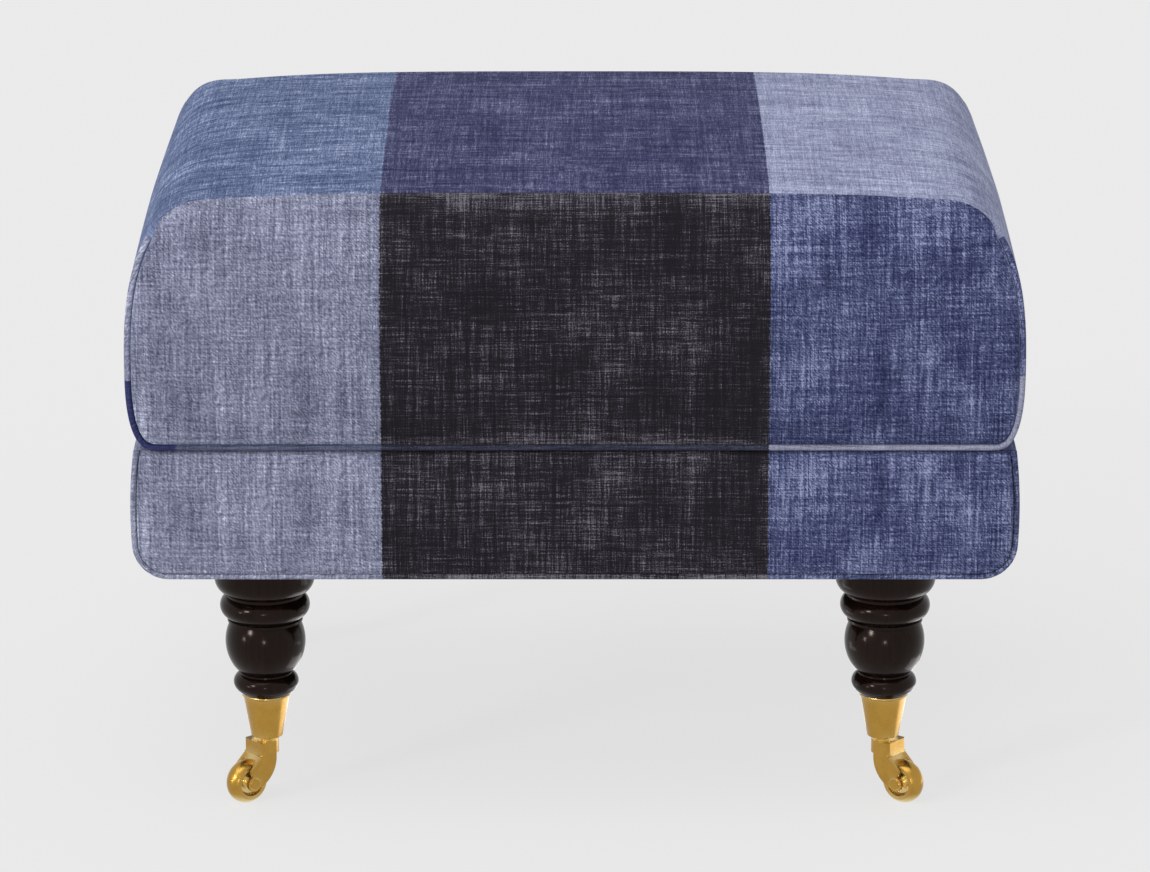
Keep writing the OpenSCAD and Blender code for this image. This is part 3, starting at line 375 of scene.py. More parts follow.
FRONT_CLOTHS, BACK_CLOTHS = ("lavender", "charcoal", "blue"), ("blue", "charcoal", "lavender")
M_PANEL = patch_cloth("cloth_panel", FRONT_CLOTHS, 1.0, worn_and_painted_light=True)
M_PANEL_BACK = patch_cloth("cloth_panel_back", BACK_CLOTHS, 31.0, worn_and_painted_light=True)
M_BASE = patch_cloth("cloth_base", FRONT_CLOTHS, 1.0, worn_and_painted_light=True, painted_lift=BASE_PAINTED_LIGHT)
M_BASE_BACK = patch_cloth("cloth_base_back", BACK_CLOTHS, 31.0, worn_and_painted_light=True, painted_lift=BASE_PAINTED_LIGHT)
M_WRAP = patch_cloth("cloth_wrap", ("steel_blue", "indigo", "pale"), 61.0, slub=4.0)
M_BASE_LEFT = patch_cloth("cloth_lavender", ("lavender",), 91.0, painted_lift=BASE_PAINTED_LIGHT)
M_BASE_RIGHT = patch_cloth("cloth_blue", ("blue",), 121.0, painted_lift=BASE_PAINTED_LIGHT)
M_PIPING = patch_cloth("cloth_piping", ("navy", "slate", "navy_black", "light_grey"), 151.0,
                       meet=(-0.280, -PATCH_X, PATCH_X))


# -------- wood, metal and plain cloth
def wood(name, dark, light, scale, rough, bump, gloss=0.3, tint=(1, 1, 1, 1)):
    """Grain along Z or along a rail, from the position in the object."""
    mat, tree, bsdf = new_material(name, Roughness=rough, Specular_IOR_Level=gloss, Specular_Tint=tint)
    stretched = scaled(tree, in_object(tree), scale)
    warp = noise(tree, scaled(tree, stretched, (0.3, 0.3, 0.3)), 2, 0.5, 3)
    fine = noise(tree, stretched, 4, 0.65, 7)
    colour = ramp(tree, weighted(tree, [(fine, 1.1), (warp, 0.7)]), [(0.3, dark), (0.72, light)])
    finish_surface(tree, bsdf, colour, fine, bump, depth=0.0004,
                   rough=remap(tree, fine, 0.3, 0.7, rough * 0.8, rough * 1.2))
    return mat


def metal(name, colour, tint, rough, coat=0.0, painted_hollow_light=None):
    """Metal with a little patina; where it lies close to other surfaces it takes the given hollow colour, a painted
    reflection that lightens the shade in its hollows.
    """
    mat, tree, bsdf = new_material(name, Metallic=1.0, Roughness=rough, Coat_Weight=coat, Coat_Roughness=0.06)
    at = in_object(tree)
    patina = noise(tree, scaled(tree, at, (90, 90, 90)), 4, 0.6, 2)
    scuff = noise(tree, scaled(tree, at, (700, 700, 1800)), 2, 0.6, 5)
    base = ramp(tree, patina, [(0.3, tint), (0.6, colour)])
    # painted reflection: a paler colour where other surfaces lie close, which lightens the dark hollows
    if painted_hollow_light:
        open_share = node(tree, "AmbientOcclusion", {"Distance": PAINTED_HOLLOW_REACH}, samples=8).outputs["AO"]
        base = mix_colours(tree, open_share, (*linear(painted_hollow_light), 1), base)
    value = weighted(tree, [(patina, 0.8), (scuff, 0.7)])
    finish_surface(tree, bsdf, base, scuff, bump=0.06, depth=0.0003,
                   rough=remap(tree, value, 0.2, 0.8, rough - 0.08, rough + 0.14))
    return mat


def plain_cloth(name, dark, light, thread, rough=0.9, bump=0.5):
    """Open plain weave, such as jute, calico or felt, from the position in the object."""
    mat, tree, bsdf = new_material(name, Roughness=rough, Specular_IOR_Level=0.2)
    at = in_object(tree)
    a = noise(tree, scaled(tree, at, (thread, thread / 16, thread)), 2, 0.6, 1)
    b = noise(tree, scaled(tree, at, (thread / 16, thread, thread)), 2, 0.6, 4)
    spots = noise(tree, scaled(tree, at, (30, 30, 30)), 3, 0.6, 8)
    value = weighted(tree, [(a, 0.9), (b, 0.9), (spots, 0.5)])
    finish_surface(tree, bsdf, ramp(tree, value, [(0.25, dark), (0.75, light)]), value, bump, depth=0.0006)
    return mat


# reach of the brass's painted reflection in its hollows
PAINTED_HOLLOW_REACH = 0.010
BEECH_DARK, BEECH_LIGHT = (176, 136, 92), (212, 176, 130)
M_DARK_WOOD = wood("espresso_wood", (11, 5, 3), (24, 13, 10), (420, 420, 16), 0.17, bump=0.012, gloss=0.17,
                   tint=(1.0, 0.80, 0.72, 1))
M_FRAME_WOOD_X = wood("beech_x", BEECH_DARK, BEECH_LIGHT, (14, 300, 300), 0.62, bump=0.2)
M_FRAME_WOOD_Y = wood("beech_y", BEECH_DARK, BEECH_LIGHT, (300, 14, 300), 0.62, bump=0.2)
M_BRASS = metal("antique_brass", (182, 141, 58), (175, 133, 52), 0.27, coat=0.3, painted_hollow_light=(255, 236, 176))
M_STEEL = metal("bright_steel", (190, 190, 194), (160, 160, 165), 0.28)
M_JUTE = plain_cloth("jute", (120, 94, 58), (186, 158, 112), 700)
M_HESSIAN = plain_cloth("hessian", (130, 104, 66), (196, 168, 122), 500)
M_CALICO = plain_cloth("calico", (204, 196, 178), (232, 226, 210), 1500, bump=0.25)
M_FELT = plain_cloth("black_felt", (18, 18, 20), (36, 36, 39), 900, rough=0.95, bump=0.3)
M_WADDING = plain_cloth("wadding", (222, 220, 212), (242, 240, 234), 260, bump=0.8)


# -------- mesh helpers
def add_object(name, verts, faces, materials):
    mesh = bpy.data.meshes.new(name)
    mesh.from_pydata([tuple(map(float, v)) for v in verts], [], [tuple(map(int, f)) for f in faces])
    for m in materials:
        mesh.materials.append(m)
    mesh.validate()
    mesh.polygons.foreach_set("use_smooth", [True] * len(mesh.polygons))
    return new_object(name, mesh)


def turn_outward(mesh):
    """Make all faces of a closed mesh look outwards."""
    bm = bmesh.new()
    bm.from_mesh(mesh)
    bmesh.ops.recalc_face_normals(bm, faces=bm.faces)
    bm.to_mesh(mesh)
    bm.free()


def read(items, key, width, kind=float):
    """A property of all of a mesh's points, edges or corners, in rows."""
    values = np.zeros(len(items) * width, kind)
    items.foreach_get(key, values)
    return values.reshape(-1, width)


def corner_points(mesh):
    """The point that each face corner lies on."""
    return read(mesh.loops, "vertex_index", 1, int)[:, 0]


def set_uv(obj, corner_uv):
    layer = obj.data.uv_layers.new(name="cloth", do_init=False)
    layer.data.foreach_set("uv", np.asarray(corner_uv, np.float32).ravel())


def set_rim(obj, values):
    """Distance of each point from its cloth's seam, which the cloths with wear and painted light read."""
    obj.data.attributes.new("rim", "FLOAT", "POINT").data.foreach_set("value", np.asarray(values, np.float32))


def apply_modifiers(obj):
    """Put the evaluated mesh in place of the object's own."""
    deps = bpy.context.evaluated_depsgraph_get()
    mesh = bpy.data.meshes.new_from_object(obj.evaluated_get(deps), preserve_all_data_layers=True, depsgraph=deps)
    old = obj.data
    obj.modifiers.clear()
    obj.data = mesh
    mesh.name = obj.name
    bpy.data.meshes.remove(old)


def grid_faces(m, n, wrap_n=False, start=0, flip=False):
    """Quads of an m by n grid of points; wrap_n closes the rows."""
    i, j = np.meshgrid(np.arange(m - 1), np.arange(n if wrap_n else n - 1), indexing="ij")
    i, j = i.ravel(), j.ravel()
    k = (j + 1) % n
    f = np.stack([i * n + j, i * n + k, (i + 1) * n + k, (i + 1) * n + j], 1) + start
    return f[:, ::-1] if flip else f


def grid(*parts):
    """Grid of points from arrays of their coordinates that stretch to one shape."""
    return np.stack(np.broadcast_arrays(*parts), -1)


def unit(vectors):
    return vectors / np.linalg.norm(vectors, axis=-1)[..., None]


def path_length(points):
    """Length along a polyline at each of its points."""
    return np.r_[0, np.cumsum(np.linalg.norm(np.diff(points, axis=0), axis=1))]


def resample(points, count):
    """count points at even steps along an open polyline, whose extra columns are carried along."""
    step = path_length(points[:, :2])
    at = np.linspace(0, step[-1], count)
    return np.stack([np.interp(at, step, points[:, c]) for c in range(points.shape[1])], 1)


def crowded(count, share):
    """Places from -1 to 1 that crowd towards both ends, the more so the nearer share is to 1."""
    return np.sin(np.linspace(-1, 1, count) * np.pi / 2 * share) / math.sin(np.pi / 2 * share)


def tube(name, path, materials, pick=None):
    """Closed cord of piping along a path of (x, y, z, nx, nz), where nx, nz point out of its outline.

    pick gives the material's index for each point of the path.
    """
    sides = 12
    n = len(path)
    a = 2 * np.pi * np.arange(sides) / sides
    ring = np.stack([np.cos(a), np.sin(a)], 1)
    out = np.zeros((n, 3))
    out[:, 0], out[:, 2] = path[:, 3], path[:, 4]
    y = np.array([0, -1.0, 0])
    co = path[:, None, :3] + PIPING_R * (ring[None, :, :1] * out[:, None, :] + ring[None, :, 1:] * y)
    verts = [*co.reshape(-1, 3), path[0, :3], path[-1, :3]]
    last = (n - 1) * sides
    faces = [*grid_faces(n, sides, True)]
    faces += [(n * sides, (k + 1) % sides, k) for k in range(sides)]
    faces += [(n * sides + 1, last + k, last + (k + 1) % sides) for k in range(sides)]
    obj = add_object(name, verts, faces, materials)
    if pick is not None:
        ends = [pick[0]] * sides + [pick[-1]] * sides
        obj.data.polygons.foreach_set("material_index", [*np.repeat(pick[:-1], sides), *ends])
    turn_outward(obj.data)
    index = corner_points(obj.data)
    turn = np.abs(a - np.pi)[None, :] * PIPING_R
    u = np.r_[(path[:, :1] - np.sign(path[:, :1]) * turn * np.abs(path[:, 3:4])).ravel(), path[0, 0], path[-1, 0]]
    v = np.r_[(path[:, 2:3] + turn * np.abs(path[:, 4:5])).ravel(), path[0, 2], path[-1, 2]]
    set_uv(obj, np.stack([u[index], v[index]], 1))
    return obj


# -------- cushion outline and panel shapes
# An outline's points are (x, z, nx, nz): the place, and the way out of the outline there.
def signed_power(v, e):
    return np.sign(v) * np.abs(v) ** e


def oval(cx, cz, a, b, a0, a1, n):
    """Arc of a full oval with half axes a and b, from angle a0 to a1 in degrees."""
    t = np.radians(np.linspace(a0, a1, n))
    q = 2 / FULLNESS
    c, s = np.cos(t), np.sin(t)
    m = unit(np.stack([signed_power(c, 2 - q) / a, signed_power(s, 2 - q) / b], 1))
    return np.column_stack([cx + a * signed_power(c, q), cz + b * signed_power(s, q), m])


def low_corner(s, a0, a1, n=200, inset=0.0):
    """Lower corner on the right (s = 1) or left (s = -1)."""
    return oval(s * LOW_X, WAIST_Z, LOW_W - inset, WAIST_Z - CUSHION_Z - inset, a0, a1, n)


def top_corner(s, a0, a1, n=200, inset=0.0):
    """Upper corner on the right (s = 1) or left (s = -1)."""
    return oval(s * TOP_X, WAIST_Z, TOP_W - inset, SHOULDER_Z - inset, a0, a1, n)


def top_line(n=300):
    """Top seam between the upper corners, from right to left, a little higher at its middle."""
    t = np.linspace(1, -1, n)
    m = unit(np.stack([4 * TOP_RISE * t ** 3 / TOP_X, np.ones(n)], 1))
    return np.column_stack([TOP_X * t, SEAM_Z - TOP_RISE * t ** 4, m])


def level_run(x0, x1, n, z, nz):
    """Level run of an outline that faces up (nz = 1) or down (-1)."""
    return grid(np.linspace(x0, x1, n), z, 0.0, nz)


def stand_back(x, z):
    """How far the end panels stand back from the full depth; they lean less where the seam is lower."""
    drop = TOP_RISE * np.minimum(np.abs(x) / TOP_X, 1) ** 4 * np.clip((z - WAIST_Z) / SHOULDER_Z, 0, 1)
    u = np.clip((z + drop - LEAN_TOP + SHOULDER_H) / SHOULDER_H, 0, 1)
    return SHOULDER_D * (1 - (1 - u ** FULLNESS) ** (1 / FULLNESS))


def notch_at(z):
    """Width of the notch between panel and wrap: as wide as the piping, and closed above its end."""
    return GAP + 2 * PIPING_R * (1 - np.clip((z - PIPING_STOP - PIPING_R) / NOTCH_CLOSE, 0, 1))


def edge_draw(p):
    """How far the panel's edge is drawn in from its belly, at points of an outline."""
    top = np.minimum(np.abs(p[:, 0]) / TOP_X, 1) ** 2 / 2
    return PANEL_BELLY * np.where(p[:, 3] > 0, top + (1 - top) * p[:, 2] ** 2, 1)


def panel_end(p, z):
    """Distance of the panel's edge from the cushion's middle, at points of an outline."""
    return SEAT_D / 2 - edge_draw(p) - stand_back(p[:, 0], z)


# angle of the corners where the outline's four runs meet, and the faces along them and from front to back
CORNER_MARK = 45
NX, NZ, NY = 84, 24, 58


def cushion_loop():
    """Closed outline of the cushion in four runs: right side, top, left side, bottom."""
    mark = CORNER_MARK
    right = np.vstack([low_corner(1, -mark, 0), top_corner(1, 0, mark)[1:]])
    top = np.vstack([top_corner(1, mark, 90), top_line()[1:], top_corner(-1, 90, 180 - mark)[1:]])
    left = np.vstack([top_corner(-1, 180 - mark, 180), low_corner(-1, 180, 180 + mark)[1:]])
    low = np.vstack([low_corner(-1, 180 + mark, 270), level_run(-LOW_X, LOW_X, 300, CUSHION_Z, -1)[1:],
                     low_corner(1, -90, -mark)[1:]])
    runs = [resample(run, count + 1)[:-1] for run, count in ((right, NZ), (top, NX), (left, NZ), (low, NX))]
    loop = np.vstack(runs)
    loop[:, 2:] = unit(loop[:, 2:])
    return loop


def coons(loop):
    """Grid of (x, z) inside a closed loop, rows from bottom to top, columns from left to right."""
    right = loop[:NZ + 1, :2]
    top = loop[NZ:NZ + NX + 1, :2][::-1]
    left = loop[NZ + NX:2 * NZ + NX + 1, :2][::-1]
    low = np.vstack([loop[2 * NZ + NX:, :2], loop[:1, :2]])
    s = np.linspace(0, 1, NX + 1)[None, :, None]
    t = np.linspace(0, 1, NZ + 1)[:, None, None]
    g = (1 - t) * low[None] + t * top[None] + (1 - s) * left[:, None] + s * right[:, None]
    g -= (1 - s) * (1 - t) * low[0] + s * (1 - t) * low[-1] + (1 - s) * t * top[0] + s * t * top[-1]
    return g


def panel_points(edge):
    """Points of the front panel, its edge first, and how far each lies from that edge."""
    inner = coons(edge)[1:-1, 1:-1].reshape(-1, 2)
    x, z = inner[:, 0], inner[:, 1]
    polar = np.arctan2(edge[:, 1] - MID_Z, edge[:, 0])
    order = np.argsort(polar)
    keys = polar[order]
    reach = np.hypot(edge[:, 0], edge[:, 1] - MID_Z)[order]
    draw = edge_draw(edge)[order]
    angle = np.arctan2(z - MID_Z, x)
    away = np.hypot(x, z - MID_Z)
    r = np.clip(away / np.interp(angle, keys, reach, period=2 * np.pi), 0, 1)
    y = -(SEAT_D / 2 - stand_back(x, z) - np.interp(angle, keys, draw, period=2 * np.pi) * r ** 4)
    y_edge = -(SEAT_D / 2 - stand_back(edge[:, 0], edge[:, 1]) - edge_draw(edge))
    points = np.vstack([np.column_stack([edge[:, 0], y_edge, edge[:, 1]]), np.column_stack([x, y, z])])
    return points, [0.0] * len(edge) + list((1 - r) * away)


def panel_quads():
    """Quads of a panel whose points are its closed edge and then its inner grid."""
    g = np.full((NZ + 1, NX + 1), -1)
    g[:, NX] = np.arange(NZ + 1)
    g[NZ, ::-1] = NZ + np.arange(NX + 1)
    g[::-1, 0] = NZ + NX + np.arange(NZ + 1)
    g[0, :NX] = 2 * NZ + NX + np.arange(NX)
    g[1:-1, 1:-1] = 2 * (NZ + NX) + np.arange((NZ - 1) * (NX - 1)).reshape(NZ - 1, NX - 1)
    return np.stack([g[:-1, :-1], g[:-1, 1:], g[1:, 1:], g[1:, :-1]], -1).reshape(-1, 4)


# -------- cushion
# depth of the groove in which the piping lies: without piping, and how much more with it
GROOVE, GROOVE_MORE = 0.0009, 0.0015
SWELL_CAP, SEAM_CREASE = 0.0025, 0.55
SIM_FRAMES, SIM_PRESSURE = 20, 4.0


def wrap_rings(loop, gap, front_edge, back_edge):
    """Rings of the wrap from front to back; the first and the last lie in the piping's grooves."""
    nx, nz = loop[:, 2], loop[:, 3]
    y_end = panel_end(loop, loop[:, 1]) - gap
    swell = CROWN * np.where(nz > 0, nz ** 2, 0) + SIDE_BELLY * nx ** 2
    swell = np.where(nz < -0.9, 0, swell)
    rings = []
    for k in crowded(NY + 1, 0.96):
        w = (1 - k * k) * swell
        rings.append(np.column_stack([loop[:, 0] + w * nx, k * y_end, loop[:, 1] + w * nz]))
    depth = GROOVE + GROOVE_MORE * (gap - GAP) / (2 * PIPING_R)
    grooves = []
    for side, edge, ring in ((-1, front_edge, rings[0]), (1, back_edge, rings[-1])):
        inward = np.column_stack([-nx, np.full(len(loop), -side * 1.0), -nz]) / math.sqrt(2)
        grooves.append((edge + ring) / 2 + inward * depth[:, None])
    return np.vstack([grooves[0], *rings, grooves[1]])


def swell_cloth(obj, pins):
    """A short cloth simulation under pressure: the cover swells between its seams, by SWELL_CAP at most."""
    rest = read(obj.data.vertices, "co", 3)
    group = obj.vertex_groups.new(name="pin")
    group.add(sorted(pins), 1.0, "ADD")
    cloth = obj.modifiers.new("cloth", "CLOTH")
    s = cloth.settings
    s.use_pressure, s.uniform_pressure_force = True, SIM_PRESSURE
    s.vertex_group_mass = "pin"
    s.effector_weights.gravity = 0
    s.quality = 5
    s.tension_stiffness = s.compression_stiffness = s.shear_stiffness = 15
    s.bending_stiffness = 0.5
    cloth.collision_settings.use_collision = False
    cloth.point_cache.frame_start, cloth.point_cache.frame_end = 1, SIM_FRAMES
    for f in range(1, SIM_FRAMES + 1):
        scene.frame_set(f)
    swelled = obj.evaluated_get(bpy.context.evaluated_depsgraph_get()).data
    move = read(swelled.vertices, "co", 3) - rest
    obj.modifiers.remove(cloth)
    obj.vertex_groups.remove(group)
    scene.frame_set(1)
    move *= min(1.0, SWELL_CAP / float(np.linalg.norm(move, axis=1).max()))
    obj.data.vertices.foreach_set("co", (rest + move).ravel())
    obj.data.update()


def crease_rings(obj, rings, point_count):
    """Keep the edges along some rings of points firm when the mesh is subdivided."""
    mark = np.full(point_count, -1)
    for k, ring in enumerate(rings):
        mark[ring] = k
    a, b = mark[read(obj.data.edges, "vertices", 2, int)].T
    creases = obj.data.attributes.new("crease_edge", "FLOAT", "EDGE")
    creases.data.foreach_set("value", np.where((a >= 0) & (a == b), SEAM_CREASE, 0).astype(np.float32))


def make_cushion():
    """The cushion as one closed cover: two end panels, and the wrap with its calico underside between them."""
    loop = cushion_loop()
    count = len(loop)
    gap = notch_at(loop[:, 1])
    edge = loop.copy()
    edge[:, :2] -= gap[:, None] * loop[:, 2:]

    # the front panel's points, the same turned round for the back panel, and the wrap's rings
    front, rim = panel_points(edge)
    back = front * [1, -1, 1]
    wrap = wrap_rings(loop, gap, front[:count], back[:count])
    points = np.vstack([front, back, wrap])
    rings = np.arange(len(wrap)).reshape(-1, count) + 2 * len(front)
    rows = np.vstack([np.arange(count), rings, len(front) + np.arange(count)])

    quads = panel_quads()
    a, b = rows[:-1], rows[1:]
    wrap_quads = np.stack([a, b, np.roll(b, -1, 1), np.roll(a, -1, 1)], -1).reshape(-1, 4)
    panels = np.vstack([quads, quads[:, ::-1] + len(front)])
    obj = add_object("cushion", points, np.vstack([panels, wrap_quads]), [M_PANEL, M_PANEL_BACK, M_WRAP, M_CALICO])
    column = np.tile(np.arange(count), len(rows) - 1)
    under = (loop[:, 3] < -0.995) & (np.roll(loop[:, 3], -1) < -0.995)
    obj.data.polygons.foreach_set("material_index", [0] * len(quads) + [1] * len(quads)
                                  + list(np.where(under[column], 3, 2)))

    # cloth measure: panels by width and by length down the panel, the wrap by its length round and its depth
    z_path = np.linspace(CUSHION_Z - 0.01, SEAM_Z + 0.01, 400)
    z_len = path_length(np.column_stack([z_path, stand_back(0.0, z_path)]))
    way = path_length(np.vstack([loop[:, :2], loop[:1, :2]]))
    around = way[NZ + NX // 2] - way
    around = np.where(around < -way[-1] / 2, around + way[-1], around)
    corners = points[panels.ravel()]
    panel_uv = np.column_stack([corners[:, 0], np.interp(corners[:, 2], z_path, z_len)])
    wrap_u = around[np.stack([column, column, column + 1, column + 1], 1)].ravel()
    set_uv(obj, np.vstack([panel_uv, np.column_stack([wrap_u, points[wrap_quads.ravel(), 1]])]))
    set_rim(obj, [*rim, *rim, *[0.0] * len(wrap)])

    # seams and underside hold still; the rest may swell
    pins = set(np.concatenate([rows[:3].ravel(), rows[-3:].ravel()]).tolist())
    pins |= set(rows[:, loop[:, 3] < -0.7].ravel().tolist())
    swell_cloth(obj, pins)
    crease_rings(obj, [*rows[:3], *rows[-3:]], len(points))
    sub = obj.modifiers.new("subdivision", "SUBSURF")
    sub.levels = sub.render_levels = 1
    apply_modifiers(obj)
    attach(obj, BODY)
    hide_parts("cushion_top_cover", "cushion_front_panel", "cushion_back_panel", "cushion_platform",
                "cushion_wadding", "foam_core")


make_cushion()


# -------- piping
def cushion_piping(name, side, panel_material, nodes):
    """Cord round the lower part of a cushion panel; above CUFF_Z it is covered in the panel's own cloth."""
    turn = math.degrees(math.asin(((PIPING_STOP - WAIST_Z) / (SHOULDER_Z - PIPING_R)) ** (FULLNESS / 2)))
    path = np.vstack([
        top_corner(-1, 180 - turn, 180, 60, PIPING_R), low_corner(-1, 180, 270, 60, PIPING_R)[1:],
        level_run(-LOW_X, LOW_X, 60, CUSHION_Z + PIPING_R, -1)[1:-1],
        low_corner(1, -90, 0, 60, PIPING_R), top_corner(1, 0, turn, 60, PIPING_R)[1:],
    ])
    path = resample(path, 260)
    y = PIPING_R - panel_end(path, path[:, 1] + PIPING_R * path[:, 3])
    path3 = np.column_stack([path[:, 0], -side * y, path[:, 1], path[:, 2:]])
    obj = tube(name, path3, [M_PIPING, panel_material], (path[:, 1] > CUFF_Z).astype(int))
    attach(obj, BODY)
    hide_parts(*nodes)


def corner_turn(r):
    """Angle at which a corner of radius r meets the base's bellied side."""
    return math.asin((BASE_H / 2 - r) / (BIG_R - r))


def corner_centre(width, r):
    return width / 2 - BIG_R + math.sqrt((BIG_R - r) ** 2 - (BASE_H / 2 - r) ** 2)


def arc(cx, cz, r, a0, a1, n):
    a = np.linspace(a0, a1, n)
    return np.column_stack([cx + r * np.cos(a), cz + r * np.sin(a), np.cos(a), np.sin(a)])


def base_piping(name, side, material, nodes):
    """Cord round the sides, lower corners and bottom of a base panel."""
    low = corner_turn(BASE_LOW_R)
    top = math.asin((BASE_H / 2 - GAP) / BIG_R)
    xc = corner_centre(BASE_W, BASE_LOW_R)
    half = np.vstack([
        arc(xc, BASE_Z + BASE_LOW_R, BASE_LOW_R - PIPING_R, -np.pi / 2, -low, 30),
        arc(BASE_W / 2 - BIG_R, BASE_MID, BIG_R - PIPING_R, -low, top, 30)[1:],
    ])
    other = half[::-1] * [-1, 1, -1, 1]
    path = resample(np.vstack([other, level_run(-xc, xc, 60, BASE_Z + PIPING_R, -1)[1:-1], half]), 240)
    y = np.full(len(path), side * (BASE_END - PIPING_R))
    obj = tube(name, np.column_stack([path[:, 0], y, path[:, 1], path[:, 2:]]), [material])
    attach(obj, BODY)
    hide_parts(*nodes)


cushion_piping("piping_cushion_front", -1, M_PANEL, ["cushion_piping_front"])
cushion_piping("piping_cushion_back", 1, M_PANEL_BACK, ["cushion_piping_back"])
base_piping("piping_base_front", -1, M_BASE, ["base_piping_front"])
base_piping("piping_base_back", 1, M_BASE_BACK, ["base_piping_back"])

# -------- base covers
FOLD_STEPS = 8
# length down over which the puff fades, and how far the panels lie behind it
PUFF_REACH, PUFF_BACK = 0.036, 0.0004


def box_side(width, low_r, up_r, inset):
    """Half outline of the base from the middle of the underside round one side to the middle of the top."""
    low, up = corner_turn(low_r), corner_turn(up_r)
    return np.vstack([
        arc(corner_centre(width, low_r), BASE_Z + low_r, low_r - inset, -np.pi / 2, -low, 24),
        arc(width / 2 - BIG_R, BASE_MID, BIG_R - inset, -low, up, 30)[1:],
        arc(corner_centre(width, up_r), BASE_TOP - up_r, up_r - inset, up, np.pi / 2, 12)[1:],
    ])


def thick_grid(name, outer, normals, thickness, uv, material):
    """Sheet of cloth: a grid of points with its inside at a thickness behind it, closed at its edges."""
    m, n = outer.shape[:2]
    inner = outer - normals * thickness
    verts = np.vstack([outer.reshape(-1, 3), inner.reshape(-1, 3)])
    faces = [*grid_faces(m, n), *grid_faces(m, n, start=m * n, flip=True)]
    ids = np.arange(m * n).reshape(m, n)
    rim = [*ids[:, 0], *ids[-1, 1:], *ids[-2::-1, -1], *ids[0, -2:0:-1]]
    faces += [(a, b, b + m * n, a + m * n) for a, b in zip(rim, rim[1:] + rim[:1])]
    obj = add_object(name, verts, faces, [material])
    turn_outward(obj.data)
    set_uv(obj, uv.reshape(-1, 2)[corner_points(obj.data) % (m * n)])
    return obj


def base_end_cloth(name, side, material, nodes):
    """Front or back panel of the base: its face, and the cloth turned over the frame's top."""
    z_first = BASE_Z + NOTCH
    prof = box_side(BASE_D, BASE_EDGE_R, BASE_EDGE_R, 0)
    prof = prof[prof[:, 1] >= z_first - 1e-6]
    dense = np.linspace(z_first, prof[0, 1], 3)[:-1]
    first = np.column_stack([np.full(2, prof[0, 0]), dense, np.tile(prof[0, 2:], (2, 1))])
    prof = np.vstack([first, prof, level_run(prof[-1, 0], BASE_END - TURN_IN, FOLD_STEPS, BASE_TOP, 1)[1:]])
    face = prof[:-FOLD_STEPS]
    outline = box_side(BASE_W, BASE_LOW_R, BASE_EDGE_R, NOTCH)
    outline = outline[np.argsort(outline[:, 1])]
    # rows lie closer together round the lower corners, and end below the bend to the top
    z_rows = np.r_[z_first + (BASE_LOW_R - NOTCH) * (1 - np.cos(np.linspace(0, np.pi / 2, 14))),
                   np.linspace(BASE_Z + BASE_LOW_R, BASE_TOP - 0.0085, 14)[1:]]
    y_rows, ny_rows, nz_rows = (np.interp(z_rows, face[:, 1], face[:, c]) for c in (0, 2, 3))
    rows = [*np.column_stack([y_rows, z_rows, ny_rows, nz_rows])]
    half = [*np.interp(z_rows, outline[:, 1], outline[:, 0])]
    for p in prof[prof[:, 1] > z_rows[-1] + 0.0004]:
        rows.append(p)
        side_x = BASE_W / 2 - BIG_R + math.sqrt((BIG_R - NOTCH) ** 2 - (p[1] - BASE_MID) ** 2)
        half.append(side_x if p[2] > 0.3 else TURN_X)
    rows, half = np.array(rows), np.array(half)
    cols = crowded(73, 0.8)
    x = half[:, None] * cols[None]
    fade = np.exp(-((rows[:, 1] - BASE_MID) / PUFF_REACH) ** 4)[:, None]
    puff = PUFF * (1 - np.abs(cols) ** 14)[None] * fade - PUFF_BACK
    y = side * (rows[:, :1] + puff * rows[:, 2:3])
    outer = grid(x, y, rows[:, 1:2])
    nrm = unit(grid(0 * x, side * rows[:, 2:3], rows[:, 3:4]))
    v = path_length(rows[:, :2])
    obj = thick_grid(name, outer, nrm, CLOTH_T, grid(x, v[:, None]), material)
    set_rim(obj, np.tile((half[:, None] - np.abs(x)).ravel(), 2) + 0.02)
    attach(obj, BODY)
    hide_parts(*nodes)


def base_side_cloth(name, side, material, nodes):
    """Side cover of the base, turned in over and under the frame."""
    prof = box_side(BASE_W, BASE_LOW_R, BASE_EDGE_R, 0)
    prof = np.vstack([level_run(TURN_X, prof[0, 0], 7, BASE_Z, -1)[:-1], prof,
                      level_run(prof[-1, 0], TURN_X, 9, BASE_TOP, 1)[1:]])
    end = BASE_END - NOTCH
    cols = crowded(57, 0.85)
    y = cols[None] * end
    puff = PUFF * (1 - np.abs(cols) ** 14)[None] * np.clip(prof[:, 2:3], 0, 1) ** 4
    x = side * (prof[:, :1] + puff * prof[:, 2:3])
    nrm = unit(grid(side * prof[:, 2:3], 0 * y, prof[:, 3:4]))
    v = path_length(prof[:, :2])
    obj = thick_grid(name, grid(x, y, prof[:, 1:2]), nrm, CLOTH_T, grid(y, v[:, None]), material)
    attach(obj, BODY)
    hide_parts(*nodes)


base_end_cloth("cover_base_front", -1, M_BASE, ["base_front_panel"])
base_end_cloth("cover_base_back", 1, M_BASE_BACK, ["base_back_panel"])
base_side_cloth("cover_base_left", -1, M_BASE_LEFT, ["base_side_left"])
base_side_cloth("cover_base_right", 1, M_BASE_RIGHT, ["base_side_right"])

# -------- springing
# straps: width, thickness, how far they wave over and under each other, and how far they end short of the rails
STRAP_W, STRAP_T, STRAP_WAVE, STRAP_SHORT = 0.050, 0.0014, 0.00075, 0.0012
HESSIAN_WAVE, HESSIAN_PITCH_X, HESSIAN_PITCH_Y = 0.00012, 0.0858, 0.0853


def strap_places(count, half):
    """Middles of evenly spaced straps, the outer ones against the rails."""
    return [(2 * i + 1 - count) * (2 * half - STRAP_W) / (2 * (count - 1)) for i in range(count)]


